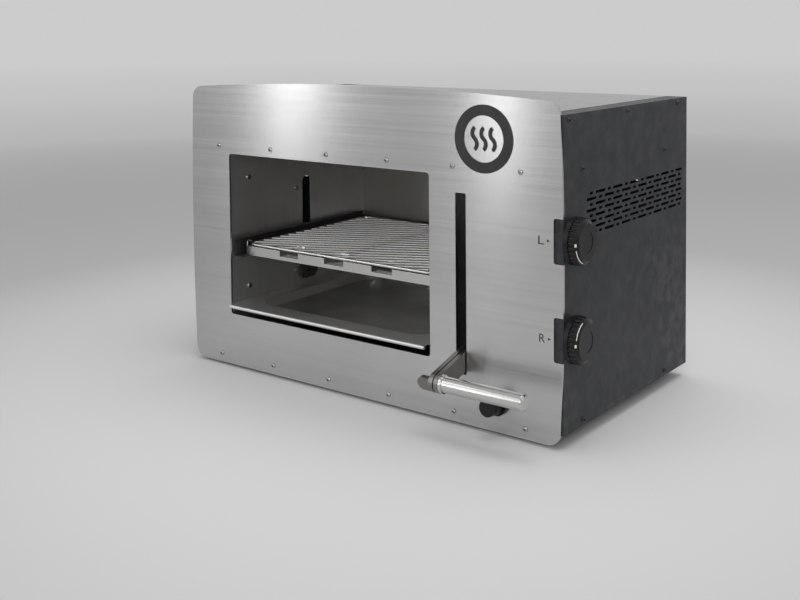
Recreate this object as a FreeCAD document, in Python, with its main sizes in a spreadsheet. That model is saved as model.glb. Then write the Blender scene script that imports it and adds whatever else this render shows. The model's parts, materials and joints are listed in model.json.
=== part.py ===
import FreeCAD, Part
import math
import os
import re

import Sketcher
from FreeCAD import Placement, Rotation, Vector

# Infrared gas grill, in millimetres.
# The front faces -Y, the control knobs are on the +X side, and the grill stands on Z = 0.
# Places along X are from the middle of the front plate, and along Y from its front face.
# The model's origin is the middle of the whole grill's outline on the floor.

SIZES = {
    # Casing
    "case_width": 628.2,
    "case_depth": 352,
    "case_height": 378.5,
    "foot_height": 17.3,
    "foot_radius": 14,
    "foot_inset": 44.1,
    "foot_chamfer": 1.5,
    "foot_front_y": 32,
    "foot_back_y": 322,
    "skin": 1.2,
    "side_screw_front": 12.5,
    "side_screw_middle": 166.2,
    "side_screw_back": 319.7,
    "side_screw_drop": 7,
    "tie_screw_front": 17.5,
    "tie_screw_back": 40.1,
    "tie_screw_drop": 1.5,
    "pan_screw_drop": 5.1,
    "top_flange": 27,
    "front_flange": 18,
    "seam": 2,
    "cover_skirt": 16,
    "pan_rise": 12.7,
    "pan_skirt": 20,
    "rail_lift": 2,
    "rail_flange": 8,
    "rail_reach": 12,
    # Front plate
    "plate_thickness": 3,
    "plate_base": 4,
    "plate_bottom_inset": 6.6,
    "plate_top_inset": 5.6,
    "plate_side_radius": 4490,
    "plate_side_height": 406.6,
    "plate_crown_radius": 4450,
    "plate_corner_radius": 18,
    "window_width": 360,
    "window_height": 235.5,
    "window_centre_x": -56.7,
    "window_base": 79,
    "window_radius": 4.5,
    "slot_centre_x": 171.35,
    "slot_width": 15.7,
    "slot_base": 66,
    "slot_height": 227,
    "slot_radius": 2,
    "notch_depth": 13,
    "notch_height": 53.5,
    "notch_radius": 3,
    "screw_pitch": 104.2,
    "screw_offset": 3,
    "screw_top_z": 325.6,
    "screw_bottom_z": 16.7,
    "corner_screw_shift": 5.5,
    "screw_head_radius": 3.5,
    "screw_head_height": 1.8,
    "screw_radius": 2,
    "screw_length": 9,
    "badge_x": 206,
    "badge_z": 362,
    "badge_radius": 42,
    "badge_thickness": 1,
    "badge_opening": 28.8,
    "wave_radius": 8.5,
    "wave_half_width": 2.3,
    "wave_pitch": 13,
    # Side vents
    "vent_front_y": 59,
    "vent_back_y": 339,
    "vent_base": 246,
    "vent_rows": 8,
    "vent_row_pitch": 6.9,
    "vent_slot_height": 3.6,
    "vent_long": 26,
    "vent_short": 9,
    "vent_bridge": 6,
    # Cooking chamber
    "chamber_margin": 4,
    "chamber_back_y": 313,
    "tie_half_depth": 9,
    "tie_half_height": 8,
    "tie_sheet": 1.5,
    "dome_radius": 3.6,
    "dome_height": 1.8,
    # Burners
    "deck_overhang": 8,
    "burner_front_y": 18,
    "burner_back_y": 304,
    "burner_headroom": 65.8,
    "burner_height": 34,
    "deck_drop": 12,
    "deck_back_overhang": 3,
    "housing_lip": 5,
    "burner_gap": 11,
    "burner_lip": 6,
    "tile_thickness": 12,
    "tile_gap": 1.5,
    "screen_thickness": 0.8,
    "screen_columns": 8,
    "screen_rows": 13,
    "screen_bridge": 4,
    "mixing_tube_radius": 10,
    "mixing_tube_wall": 1,
    "mixing_tube_rise": 13,
    "mixing_tube_end_x": 198,
    "left_tube_y": 90,
    "right_tube_y": 230,
    "spigot_radius": 8,
    "air_collar_proud": 3,
    "air_collar_length": 9,
    "air_collar_setback": 12,
    "injector_plate_x": 206,
    "injector_radius": 6,
    "injector_length": 12,
    "nozzle_overlap": 2,
    "holder_margin": 20,
    "holder_drop": 14,
    "electrode_radius": 3,
    "electrode_length": 24,
    "electrode_inset": 14,
    "electrode_drop": 6,
    "spark_tip_radius": 0.9,
    "spark_tip_reach": 34,
    # Gas valves and pipes
    "knob_left_z": 247.8,
    "knob_right_z": 131.2,
    "knob_y": 17,
    "valve_setback": 16.1,
    "valve_length": 30,
    "valve_half": 11.5,
    "valve_neck_radius": 7,
    "valve_nut_proud": 3,
    "valve_nut_length": 4,
    "valve_bore_depth": 12,
    "strip_thickness": 1.5,
    "valve_strip_reach": 22,
    "valve_strip_margin": 30,
    "manifold_y": 38,
    "manifold_radius": 8,
    "manifold_top": 16,
    "manifold_drop": 12,
    "stub_inset": 2,
    "saddle_depth": 0.8,
    "inlet_z": 116,
    "inlet_radius": 5,
    "inlet_fitting_radius": 8,
    "inlet_reach": 18,
    "inlet_nut_length": 16,
    "inlet_nut_proud": 4,
    "inlet_shoulder": 1,
    "inlet_shoulder_proud": 1.5,
    "inlet_bore_depth": 14,
    "inlet_wall": 3,
    "pipe_radius": 4,
    "pipe_bend": 16,
    "left_pipe_climb": 92,
    "left_pipe_run": 28,
    "left_pipe_lead": 8,
    "left_pipe_drop": 6,
    "right_pipe_lead": 26,
    "right_pipe_inset": 30,
    "right_pipe_climb": 110,
    "right_pipe_back": 50,
    "right_pipe_drop": 20,
    "wire_radius": 1.5,
    "wire_bend": 30,
    # Knobs
    "knob_travel": 3,
    "knob_clearance": 2.6,
    "drum_radius": 28.7,
    "drum_front_radius": 27.8,
    "drum_length": 14.3,
    "cone_length": 4.3,
    "knob_face_radius": 21.8,
    "face_recess_radius": 12.5,
    "face_recess_depth": 0.5,
    "knob_flutes": 30,
    "flute_start": 6.5,
    "flute_radius": 2.6,
    "flute_offset": 1.3,
    "spindle_radius": 4,
    "seat_thickness": 2,
    "seat_depth": 8,
    "seat_clearance": 0.2,
    "socket_depth": 11,
    "running_gap": 0.06,
    # Igniter
    "igniter_x": 224.3,
    "igniter_z": 40.3,
    "bezel_radius": 15,
    "bezel_height": 5,
    "button_radius": 12,
    "button_reach": 25,
    "button_travel": 5,
    "igniter_length": 42,
    "igniter_gap": 2,
    "bezel_wall": 2,
    "button_shaft_reach": 8,
    "button_shaft_tail": 6,
    "button_flutes": 14,
    "button_flute_radius": 1.5,
    "button_flute_offset": 0.8,
    # Lift lever
    "pivot_y": 335,
    "pivot_z": 178,
    "shaft_radius": 6,
    "lever_length": 400.3,
    "lever_rest_angle": 15.88,
    "lever_top_angle": 16.5,
    "lever_sheet": 6.2,
    "lever_gap": 1.1,
    "lever_half": 12.4,
    "hub_radius": 15.5,
    "ear_radius": 12,
    "paddle_length": 17,
    "paddle_half": 8.5,
    "paddle_drop": 4,
    "handle_radius": 10,
    "handle_length": 116.5,
    "handle_chamfer": 2.6,
    "collar_radius": 11.6,
    "collar_length": 4,
    "link_thickness": 6,
    "link_gap": 30,
    "link_overrun": 12,
    "lever_shoulder": 60,
    "spacer_radius": 4,
    "shaft_left_overrun": 8,
    "shaft_right_overrun": 30,
    "bearing_width": 14,
    "bearing_reach": 12,
    "bearing_half_height": 14,
    "bearing_corner": 3,
    "bearing_left_gap": 12,
    "bearing_right_gap": 18,
    # Carriage and rack
    "guide_y": 170,
    "guide_low_z": 109,
    "guide_high_z": 156.5,
    "drive_pin_z": 131,
    "pin_radius": 5,
    "pin_clearance": 1,
    "roller_radius": 8.8,
    "roller_clearance": 0.3,
    "guide_margin": 1.5,
    "bolt_radius": 4,
    "bolt_reach": 8,
    "bolt_head_proud": 1.2,
    "bolt_head_height": 2.5,
    "washer_proud": 2.5,
    "washer_gap": 0.8,
    "washer_thickness": 1.5,
    "nut_proud": 2.5,
    "nut_height": 3.7,
    "pin_overrun": 3,
    "bracket_half": 19,
    "bracket_thickness": 2.2,
    "bracket_base": 101,
    "bracket_drop": 3,
    "bracket_chamfer": 7,
    "bracket_standoff": 2.3,
    "rail_sheet": 1.5,
    "rail_base": 162,
    "rail_height": 27,
    "rail_ledge": 14,
    "rail_front_y": 8,
    "rail_back_y": 303,
    "crossbar_depth": 7,
    "crossbar_lift": 2,
    "crossbar_height": 18,
    "rack_width": 344,
    "rack_front_y": 22,
    "rack_back_y": 300,
    "rim_radius": 2.2,
    "rim_corner": 14,
    "rim_setback": 2,
    "strip_inset": 4,
    "strip_foot": 9,
    "tab_depth": 16,
    "strip_sheet": 1.2,
    "strip_height": 13,
    "rack_notch": 35,
    "rack_notch_pitch": 84.6,
    "rack_notch_height": 8,
    "rod_radius": 2.1,
    "rod_pitch": 16,
    "rod_angle": 27,
    "support_bar": 16,
    # Drip tray
    "tray_width": 350.5,
    "tray_front_y": -6,
    "tray_back_y": 308,
    "tray_rim_z": 94,
    "tray_sheet": 1,
    "tray_side_rim": 19,
    "tray_front_rim": 30,
    "tray_depth": 12.4,
    "tray_corner_radius": 38,
    "tray_slope": 9,
    "tray_hem_radius": 2.6,
    "tray_ledge": 16,
    "soft_gap": 0.3,
}

PLACES = {
    "case_right": "case_width / 2",
    "case_left": "-case_width / 2",
    "case_front": "plate_thickness",
    "case_back": "case_front + case_depth",
    "case_top": "foot_height + case_height",
    "foot_x": "case_right - foot_inset",
    "pan_z": "foot_height + pan_rise",
    "pan_top": "pan_z + skin",
    "plate_side_sag": "plate_side_radius - sqrt(plate_side_radius ^ 2 - (plate_side_height / 2) ^ 2)",
    "plate_bottom_width": "case_width - plate_bottom_inset",
    "plate_top_width": "case_width - plate_top_inset",
    "plate_right": "(plate_bottom_width + plate_top_width) / 4 + plate_side_sag",
    "plate_corner_z": "plate_base + plate_side_height",
    "rail_crown": "screw_top_z + rail_reach",
    "window_left": "window_centre_x - window_width / 2",
    "window_right": "window_centre_x + window_width / 2",
    "window_top": "window_base + window_height",
    "chamber_left": "window_left - chamber_margin",
    "chamber_right": "window_right + chamber_margin",
    "burner_base": "case_top - burner_headroom",
    "burner_top": "burner_base + burner_height",
    "chamber_top": "burner_top - deck_drop",
    "mixing_tube_z": "burner_top + mixing_tube_rise",
    "electrode_z": "burner_base - electrode_drop",
    "valve_face_x": "case_right - valve_setback",
    "pipe_x": "valve_face_x - valve_length / 2",
    "manifold_base": "inlet_z - manifold_drop",
    "knob_length": "drum_length + cone_length",
    "knob_face_x": "knob_back_x + knob_length",
    "knob_back_x": "case_right + knob_travel + knob_clearance",
    "flute_circle_radius": "drum_front_radius + flute_offset",
    "front_y": "handle_y - ear_radius",
    "back_y": "case_back + inlet_reach",
    "handle_y": "pivot_y - lever_length * cos(lever_rest_angle)",
    "handle_z": "pivot_z - lever_length * sin(lever_rest_angle)",
    "middle_x": "(knob_face_x - max(plate_right; case_right + screw_head_height)) / 2",
    "middle_y": "(front_y + back_y) / 2",
    "pin_reach": "pivot_y - guide_y",
    "lift": "pin_reach * (tan(lever_rest_angle) + tan(lever_top_angle))",
    "guide_base": "guide_low_z - roller_radius - guide_margin",
    "guide_top": "guide_high_z + lift + roller_radius + guide_margin",
    "lever_half_width": "lever_sheet + lever_gap / 2",
    "link_x": "chamber_left - skin - link_gap",
    "rack_left": "window_centre_x - rack_width / 2",
    "rack_right": "window_centre_x + rack_width / 2",
    "rack_base": "rail_base + rail_sheet + soft_gap",
    "rim_z": "rack_base + strip_height + rim_radius",
    "tray_left": "window_centre_x - tray_width / 2",
    "tray_right": "window_centre_x + tray_width / 2",
    "tray_ledge_z": "tray_rim_z - tray_sheet - soft_gap",
}

doc = FreeCAD.newDocument("gas_grill")
sheet = doc.addObject("Spreadsheet::Sheet", "Sizes")
for row, (alias, size) in enumerate(SIZES.items(), start=1):
    sheet.set(f"A{row}", alias)
    sheet.set(f"B{row}", str(size))
    sheet.setAlias(f"B{row}", alias)
doc.recompute()

NODES = {}
X_AXIS = Vector(1, 0, 0)
ALONG = {
    "x": Rotation(Vector(0, 1, 0), 90),
    "y": Rotation(Vector(1, 0, 0), -90),
    "z": Rotation(),
}


def expand(text):
    """Write an expression in the sheet's cells, with every named place worked out."""
    def swap(match):
        word = match.group(0)
        if word in PLACES:
            return f"({expand(PLACES[word])})"
        return f"Sizes.{word}" if word in SIZES else word
    return re.sub(r"[a-z][a-z0-9_]*", swap, str(text))


def number(text):
    return float(sheet.evalExpression(expand(text)))


def bind(item, **sizes):
    for name, text in sizes.items():
        item.setExpression(name, expand(text))


def place(item, x, y, z):
    """Put an item's own origin at a place of the grill."""
    item.setExpression("Placement.Base.x", expand(f"({x}) - middle_x"))
    item.setExpression("Placement.Base.y", expand(f"({y}) - middle_y"))
    item.setExpression("Placement.Base.z", expand(z))


def block(name, x, y, z):
    """A box between two places on each axis."""
    box = doc.addObject("Part::Box", name)
    bind(box, Length=f"({x[1]}) - ({x[0]})", Width=f"({y[1]}) - ({y[0]})", Height=f"({z[1]}) - ({z[0]})")
    place(box, x[0], y[0], z[0])
    return box


def rod(name, axis, x, y, z, radius, length):
    """A round bar that starts at a place and runs along an axis."""
    bar = doc.addObject("Part::Cylinder", name)
    bind(bar, Radius=radius, Height=length)
    bar.Placement = Placement(Vector(), ALONG[axis])
    place(bar, x, y, z)
    return bar


def taper(name, axis, x, y, z, start_radius, end_radius, length):
    cone = doc.addObject("Part::Cone", name)
    bind(cone, Radius1=start_radius, Radius2=end_radius, Height=length)
    cone.Placement = Placement(Vector(), ALONG[axis])
    place(cone, x, y, z)
    return cone


def gather(name, pieces):
    """Separate solids kept together."""
    group = doc.addObject("Part::Compound", name)
    group.Links = list(pieces)
    return group


def join(name, *pieces):
    whole = doc.addObject("Part::MultiFuse", name)
    whole.Shapes = list(pieces)
    whole.Refine = True
    return whole


def cut(name, base, *tools):
    rest = doc.addObject("Part::Cut", name)
    rest.Base = base
    rest.Tool = tools[0] if len(tools) == 1 else join(name + "_tools", *tools)
    return rest


def ring(name, axis, x, y, z, outer, inner, length):
    return cut(name, rod(name + "_outer", axis, x, y, z, outer, length),
               rod(name + "_bore", axis, x, y, z, inner, length))


def edges_along(shape, axis):
    """Numbers of the straight edges that run along an axis."""
    found = []
    for index, edge in enumerate(shape.Edges, start=1):
        if isinstance(edge.Curve, (Part.Line, Part.LineSegment)):
            if abs(edge.tangentAt(edge.FirstParameter).dot(axis)) > 0.999:
                found.append(index)
    return found


def rounded(name, base, axis, radius):
    """A block whose edges along one axis are rounded."""
    doc.recompute()
    soft = doc.addObject("Part::Fillet", name)
    soft.Base = base
    size = number(radius)
    soft.Edges = [(index, size, size) for index in edges_along(base.Shape, axis)]
    return soft


def node(name, item):
    item.Label = name
    NODES[name] = item
    return item


def sketch_outline(body, plane, points, arcs=()):
    """A closed sketch through points, each held by its two distances from the origin.

    arcs gives, for the side after a point, the radius of an arc that bulges outwards.
    Points run anticlockwise.
    """
    arcs = dict(arcs)
    sketch = body.newObject("Sketcher::SketchObject", body.Name + "_outline")
    for feature in body.Origin.OriginFeatures:
        if feature.Role == plane:
            sketch.AttachmentSupport = [(feature, "")]
    sketch.MapMode = "FlatFace"
    corners = [Vector(number(u), number(v), 0) for u, v in points]
    count = len(corners)
    for index, start in enumerate(corners):
        end = corners[(index + 1) % count]
        if index in arcs:
            radius = number(arcs[index])
            chord = end - start
            height = math.sqrt(radius ** 2 - chord.Length ** 2 / 4)
            centre = (start + end) / 2 + Vector(-chord.y, chord.x, 0).normalize() * height
            circle = Part.Circle(centre, Vector(0, 0, 1), radius)
            angles = [math.atan2(point.y - centre.y, point.x - centre.x) for point in (start, end)]
            sketch.addGeometry(Part.ArcOfCircle(circle, *angles))
        else:
            sketch.addGeometry(Part.LineSegment(start, end))
    for index in range(count):
        sketch.addConstraint(Sketcher.Constraint("Coincident", index, 2, (index + 1) % count, 1))
    for index, (u, v) in enumerate(points):
        for kind, text, held in (("DistanceX", u, corners[index].x), ("DistanceY", v, corners[index].y)):
            mark = sketch.addConstraint(Sketcher.Constraint(kind, -1, 1, index, 1, held))
            sketch.setExpression(f"Constraints[{mark}]", expand(text))
    for index, radius in arcs.items():
        mark = sketch.addConstraint(Sketcher.Constraint("Radius", index, number(radius)))
        sketch.setExpression(f"Constraints[{mark}]", expand(radius))
    return sketch


def padded_body(name, plane, points, length, arcs=(), reverse=False):
    body = doc.addObject("PartDesign::Body", name)
    sketch = sketch_outline(body, plane, points, arcs)
    pad = body.newObject("PartDesign::Pad", name + "_pad")
    pad.Profile = sketch
    pad.Reversed = reverse
    bind(pad, Length=length)
    sketch.Visibility = False
    return body


def turned_body(name, points, arcs=()):
    """A body turned about its own X axis, from an outline of (along, radius) points."""
    body = doc.addObject("PartDesign::Body", name)
    sketch = sketch_outline(body, "XY_Plane", points, arcs)
    turned = body.newObject("PartDesign::Revolution", name + "_turned")
    turned.Profile = sketch
    turned.ReferenceAxis = (sketch, ["H_Axis"])
    turned.Angle = 360
    return body


def bent_tube(name, points, radius, bend):
    """A round tube along straight runs joined by tangent arcs."""
    spots = [Vector(number(x) - number("middle_x"), number(y) - number("middle_y"), number(z))
             for x, y, z in points]
    edges = []
    start = spots[0]
    for before, corner, after in zip(spots, spots[1:], spots[2:]):
        inward = (before - corner).normalize()
        outward = (after - corner).normalize()
        half_turn = (math.pi - inward.getAngle(outward)) / 2
        shorter = min((before - corner).Length, (after - corner).Length)
        size = min(number(bend), 0.45 * shorter / math.tan(half_turn))
        setback = size * math.tan(half_turn)
        first = corner + inward * setback
        last = corner + outward * setback
        middle_way = (inward + outward).normalize()
        middle = corner + middle_way * (size / math.cos(half_turn) - size)
        edges.append(Part.LineSegment(start, first).toShape())
        edges.append(Part.Arc(first, middle, last).toShape())
        start = last
    edges.append(Part.LineSegment(start, spots[-1]).toShape())
    path = Part.Wire(edges)
    section = Part.Wire(Part.Circle(spots[0], spots[1] - spots[0], number(radius)).toShape())
    tube = doc.addObject("Part::Feature", name)
    tube.Shape = path.makePipeShell([section], True, False)
    return tube


# Front plate: gently bowed sides and top, with the window, the lever slot and the knob notches.
plate_blank = padded_body(
    "plate_blank", "XZ_Plane",
    [("-plate_bottom_width / 2", "plate_base"), ("plate_bottom_width / 2", "plate_base"),
     ("plate_top_width / 2", "plate_corner_z"), ("-plate_top_width / 2", "plate_corner_z")],
    "plate_thickness",
    arcs={1: "plate_side_radius", 2: "plate_crown_radius", 3: "plate_side_radius"},
    reverse=True)
place(plate_blank, 0, 0, 0)
plate_rounded = rounded("plate_rounded", plate_blank, Vector(0, 1, 0), "plate_corner_radius")
through = ("-plate_thickness", "plate_thickness * 2")
window = rounded("window", block("window_block", ("window_left", "window_right"), through,
                                 ("window_base", "window_top")), Vector(0, 1, 0), "window_radius")
slot_x = ("slot_centre_x - slot_width / 2", "slot_centre_x + slot_width / 2")
lever_slot = rounded("lever_slot", block("slot_block", slot_x, through, ("slot_base", "slot_base + slot_height")),
                     Vector(0, 1, 0), "slot_radius")
notches = []
for side in ("left", "right"):
    notch_z = (f"knob_{side}_z - notch_height / 2", f"knob_{side}_z + notch_height / 2")
    notch_x = ("plate_right - notch_depth", "plate_right + notch_depth")
    notches.append(rounded(f"{side}_notch", block(f"{side}_notch_block", notch_x, through, notch_z),
                           Vector(0, 1, 0), "notch_radius"))
SCREWS_ACROSS = 6
screw_places = []
for index in range(SCREWS_ACROSS):
    across = f"screw_offset + screw_pitch * {index - (SCREWS_ACROSS - 1) / 2}"
    corner = " - corner_screw_shift" if index == SCREWS_ACROSS - 1 else ""
    screw_places += [(across + corner, "screw_top_z"), (across, "screw_bottom_z")]
screw_holes = [rod(f"plate_hole_{index}", "y", x, "-plate_thickness", z, "screw_radius", "plate_thickness * 3")
               for index, (x, z) in enumerate(screw_places)]
igniter_hole = rod("igniter_hole", "y", "igniter_x", "-plate_thickness", "igniter_z", "button_radius",
                   "plate_thickness * 3")
plate_cuts = [window, lever_slot, *notches, *screw_holes, igniter_hole]
node("front_plate", cut("front_plate_cut", plate_rounded, *plate_cuts))

screws = []
for index, (x, z) in enumerate(screw_places):
    head = rod(f"front_head_{index}", "y", x, "-screw_head_height", z, "screw_head_radius", "screw_head_height")
    shank = rod(f"front_shank_{index}", "y", x, 0, z, "screw_radius", "screw_length")
    screws.append(join(f"front_screw_{index}", head, shank))
node("front_screws", gather("front_screws_group", screws))

WAVE_SWEEP = 52
WAVES = (-1, 0, 1)


def wave(index):
    """An upright wavy bar: an arc that bulges to +X with its mirror image, bulging to -X, above it."""
    radius, half = number("wave_radius"), number("wave_half_width")
    middle_x = number(f"badge_x + wave_pitch * {index}")
    middle_z = number("badge_z")

    def turned(side, size, degrees):
        """A point on the lower (-1) or the upper (1) arc."""
        angle = math.radians(degrees)
        centre_x = middle_x + side * radius * math.cos(math.radians(WAVE_SWEEP))
        centre_z = middle_z + side * radius * math.sin(math.radians(WAVE_SWEEP))
        return Vector(centre_x - side * size * math.cos(angle), 0, centre_z + size * math.sin(angle))

    wide, narrow, sweep = radius + half, radius - half, WAVE_SWEEP
    outline = [
        Part.Arc(turned(-1, wide, -sweep), turned(-1, wide, 0), turned(-1, wide, sweep)),
        Part.Arc(turned(1, narrow, -sweep), turned(1, narrow, 0), turned(1, narrow, sweep)),
        Part.LineSegment(turned(1, narrow, sweep), turned(1, wide, sweep)),
        Part.Arc(turned(1, wide, sweep), turned(1, wide, 0), turned(1, wide, -sweep)),
        Part.Arc(turned(-1, narrow, sweep), turned(-1, narrow, 0), turned(-1, narrow, -sweep)),
        Part.LineSegment(turned(-1, narrow, -sweep), turned(-1, wide, -sweep)),
    ]
    face = Part.Face(Part.Wire(Part.__sortEdges__([side.toShape() for side in outline])))
    bar = doc.addObject("Part::Feature", f"wave_{index + 1}")
    bar.Shape = face.extrude(Vector(0, -number("badge_thickness"), 0))
    place(bar, 0, 0, 0)
    return bar


badge_ring = ring("badge_ring", "y", "badge_x", "-badge_thickness", "badge_z", "badge_radius", "badge_opening",
                  "badge_thickness")
node("badge", gather("badge_group", [badge_ring, *[wave(index) for index in WAVES]]))

# Side panels: folded sheets with a top flange, a front flange and a field of vent slots.
COVER_SCREWS = [(f"case_front + side_screw_{way}", "case_top - side_screw_drop")
                for way in ("front", "middle", "back")]
TIE_SCREWS = [("foot_front_y + tie_screw_front", "burner_base - tie_screw_drop"),
              ("foot_back_y - tie_screw_back", "burner_base - tie_screw_drop")]
PAN_SCREWS = [(y, "pan_z - pan_screw_drop") for y, _ in TIE_SCREWS]
SIDE_SCREWS = COVER_SCREWS + TIE_SCREWS + PAN_SCREWS


def vent_slots(name, start_x):
    """Rows of long and short slots, each row shifted against the one below."""
    slots = []
    step = number("vent_long + vent_short + 2 * vent_bridge")
    height = number("vent_slot_height")
    front, back = number("vent_front_y"), number("vent_back_y")
    for row in range(int(number("vent_rows"))):
        z = number("vent_base") + row * number("vent_row_pitch")
        y = front - (row % 2) * step / 2
        while y < back:
            for length in (number("vent_long"), number("vent_short")):
                low, high = max(y, front), min(y + length, back)
                if high - low > 2 * height:
                    slots.append((low, high, z))
                y += length + number("vent_bridge")
    solids = []
    half = height / 2
    for low, high, z in slots:
        base_front, base_back = Vector(0, low + half, z), Vector(0, high - half, z)
        top_front, top_back = Vector(0, low + half, z + height), Vector(0, high - half, z + height)
        sides = [Part.LineSegment(base_front, base_back), Part.Arc(base_back, Vector(0, high, z + half), top_back),
                 Part.LineSegment(top_back, top_front), Part.Arc(top_front, Vector(0, low, z + half), base_front)]
        outline = Part.Wire([side.toShape() for side in sides])
        solids.append(Part.Face(outline).extrude(Vector(number("skin") * 4, 0, 0)))
    field = doc.addObject("Part::Feature", name)
    field.Shape = Part.Compound(solids)
    place(field, start_x, 0, 0)
    return field


for side, sign in (("left", "-"), ("right", "")):
    def across(distance, sign=sign):
        """Two places at distances from the casing's outer face, towards its middle."""
        near, far = (f"{sign}(case_right - ({part}))" for part in distance)
        return (near, far) if sign else (far, near)
    height_z = ("foot_height", "case_top")
    wall = block(f"{side}_wall", across((0, "skin")), ("case_front", "case_back"), height_z)
    top = block(f"{side}_top_flange", across((0, "top_flange")), ("case_front", "case_back"),
                ("case_top - skin", "case_top"))
    front = block(f"{side}_front_flange", across((0, "front_flange")), ("case_front", "case_front + skin"),
                  height_z)
    folded = join(f"{side}_folded", wall, top, front)
    start = f"{sign}(case_right + skin)" if sign else "case_right - skin * 3"
    holes = [vent_slots(f"{side}_vents", start)]
    for index, (y, z) in enumerate(SIDE_SCREWS):
        holes.append(rod(f"{side}_hole_{index}", "x", start, y, z, "screw_radius", "skin * 4"))
    if side == "right":
        for knob in ("left", "right"):
            holes.append(rod(f"{knob}_spindle_hole", "x", start, "knob_y", f"knob_{knob}_z",
                             "spindle_radius + 1", "skin * 4"))
    node(f"{side}_side_panel", cut(f"{side}_panel_cut", folded, gather(f"{side}_panel_holes", holes)))

screws = []
for side, sign in (("left", "-"), ("right", "")):
    for index, (y, z) in enumerate(SIDE_SCREWS):
        head_x = f"{sign}case_right - screw_head_height" if sign else "case_right"
        shank_x = f"{sign}case_right" if sign else "case_right - screw_length"
        head = rod(f"{side}_head_{index}", "x", head_x, y, z, "screw_head_radius", "screw_head_height")
        shank = rod(f"{side}_shank_{index}", "x", shank_x, y, z, "screw_radius", "screw_length")
        screws.append(join(f"{side}_screw_{index}", head, shank))
node("side_screws", gather("side_screws_group", screws))

# Top cover: a pan under the side flanges, with its middle raised flush with them.
inner_x = ("case_left + skin", "case_right - skin")
cover_front_y = "case_front + skin"
cover_back_y = "case_back - skin"
cover_z = ("case_top - 2 * skin", "case_top - skin")
cover_pan = block("cover_pan", inner_x, (cover_front_y, cover_back_y), cover_z)
cover_raised = block("cover_raised", ("case_left + top_flange + seam", "case_right - top_flange - seam"),
                     ("case_front", "case_back"), ("case_top - skin", "case_top"))
cover_skirts = []
skirt_z = ("case_top - 2 * skin - cover_skirt", "case_top - 2 * skin")
for index, pair in enumerate(((inner_x[0], "case_left + 2 * skin"), ("case_right - 2 * skin", inner_x[1]))):
    cover_skirts.append(block(f"cover_skirt_{index}", pair, (cover_front_y, cover_back_y), skirt_z))
cover = join("cover_folded", cover_pan, cover_raised, *cover_skirts)
cover_holes = []
for index, (y, z) in enumerate(COVER_SCREWS):
    cover_holes.append(rod(f"cover_hole_{index}", "x", "case_left", y, z, "screw_radius", "case_width"))
node("top_cover", cut("top_cover_cut", cover, gather("cover_holes", cover_holes)))

# Back panel with louvre slots and the gas inlet hole.
LOUVRES = 13
LOUVRE_PITCH = 40
LOUVRE_HALF = 3
back_blank = block("back_blank", inner_x, ("case_back - skin", "case_back"),
                   ("foot_height", "case_top - 2 * skin"))
back_holes = [rod("inlet_hole", "y", "pipe_x", "case_back - 3 * skin", "inlet_z",
                  "inlet_fitting_radius + inlet_shoulder_proud", "skin * 5")]
for index in range(LOUVRES):
    x = LOUVRE_PITCH * (index - (LOUVRES - 1) / 2)
    for row, (low, high) in enumerate((("case_top - 75", "case_top - 35"), ("case_top - 125", "case_top - 85"))):
        back_holes.append(block(f"louvre_{index}_{row}", (x - LOUVRE_HALF, x + LOUVRE_HALF),
                                ("case_back - 3 * skin", "case_back + 2 * skin"), (low, high)))
node("back_panel", cut("back_panel_cut", back_blank, gather("back_holes", back_holes)))

# Bottom pan with hanging skirts, and the rubber feet below it.
pan_y = ("case_front", cover_back_y)
pan_floor = block("pan_floor", inner_x, pan_y, ("pan_z", "pan_top"))
pan_front = block("pan_front", ("case_left + front_flange + 1", "case_right - front_flange - 1"),
                  ("case_front", "case_front + skin"), ("pan_top - pan_skirt", "pan_z"))
pan_sides = [block(f"pan_side_{index}", pair, ("case_front + skin", cover_back_y), ("foot_height", "pan_z"))
             for index, pair in enumerate(((inner_x[0], "case_left + 2 * skin"),
                                           ("case_right - 2 * skin", inner_x[1])))]
front_skin = ("case_front", "case_front + skin")
corner_reliefs = [block(f"pan_relief_{index}", pair, front_skin, ("foot_height", "pan_top"))
                  for index, pair in enumerate((("case_left", "case_left + front_flange"),
                                                ("case_right - front_flange", "case_right")))]
pan_holes = [rod(f"pan_hole_{index}", "x", "case_left", y, z, "screw_radius", "case_width")
             for index, (y, z) in enumerate(PAN_SCREWS)]
pan_front_holes = [rod(f"pan_front_hole_{index}", "y", x, 0, z, "screw_radius", "screw_length * 2")
                   for index, (x, z) in enumerate(screw_places) if z == "screw_bottom_z"]
pan_mouth = block("pan_mouth", ("igniter_x - bezel_radius - 1", "igniter_x + bezel_radius + 1"),
                  ("case_front - 1", "case_front + 2 + igniter_length + 3"), ("pan_z - pan_rise", "pan_top + 1"))
pan_folded = join("pan_folded", pan_floor, pan_front, *pan_sides)
node("bottom_pan", cut("bottom_pan_cut", pan_folded,
                       gather("pan_cuts", corner_reliefs + pan_holes + pan_front_holes + [pan_mouth])))
feet = []
for index, sign in enumerate(("-", "")):
    for row in ("front", "back"):
        foot = rod(f"foot_{index}_{row}", "z", f"{sign}foot_x", f"foot_{row}_y", 0, "foot_radius", "pan_z")
        doc.recompute()
        soft_foot = doc.addObject("Part::Chamfer", f"soft_foot_{index}_{row}")
        soft_foot.Base = foot
        round_edges = [n for n, edge in enumerate(foot.Shape.Edges, start=1)
                       if isinstance(edge.Curve, Part.Circle) and edge.CenterOfMass.z < 1]
        foot_chamfer = number("foot_chamfer")
        soft_foot.Edges = [(n, foot_chamfer, foot_chamfer) for n in round_edges]
        feet.append(soft_foot)
node("feet", gather("feet_group", feet))

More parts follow.
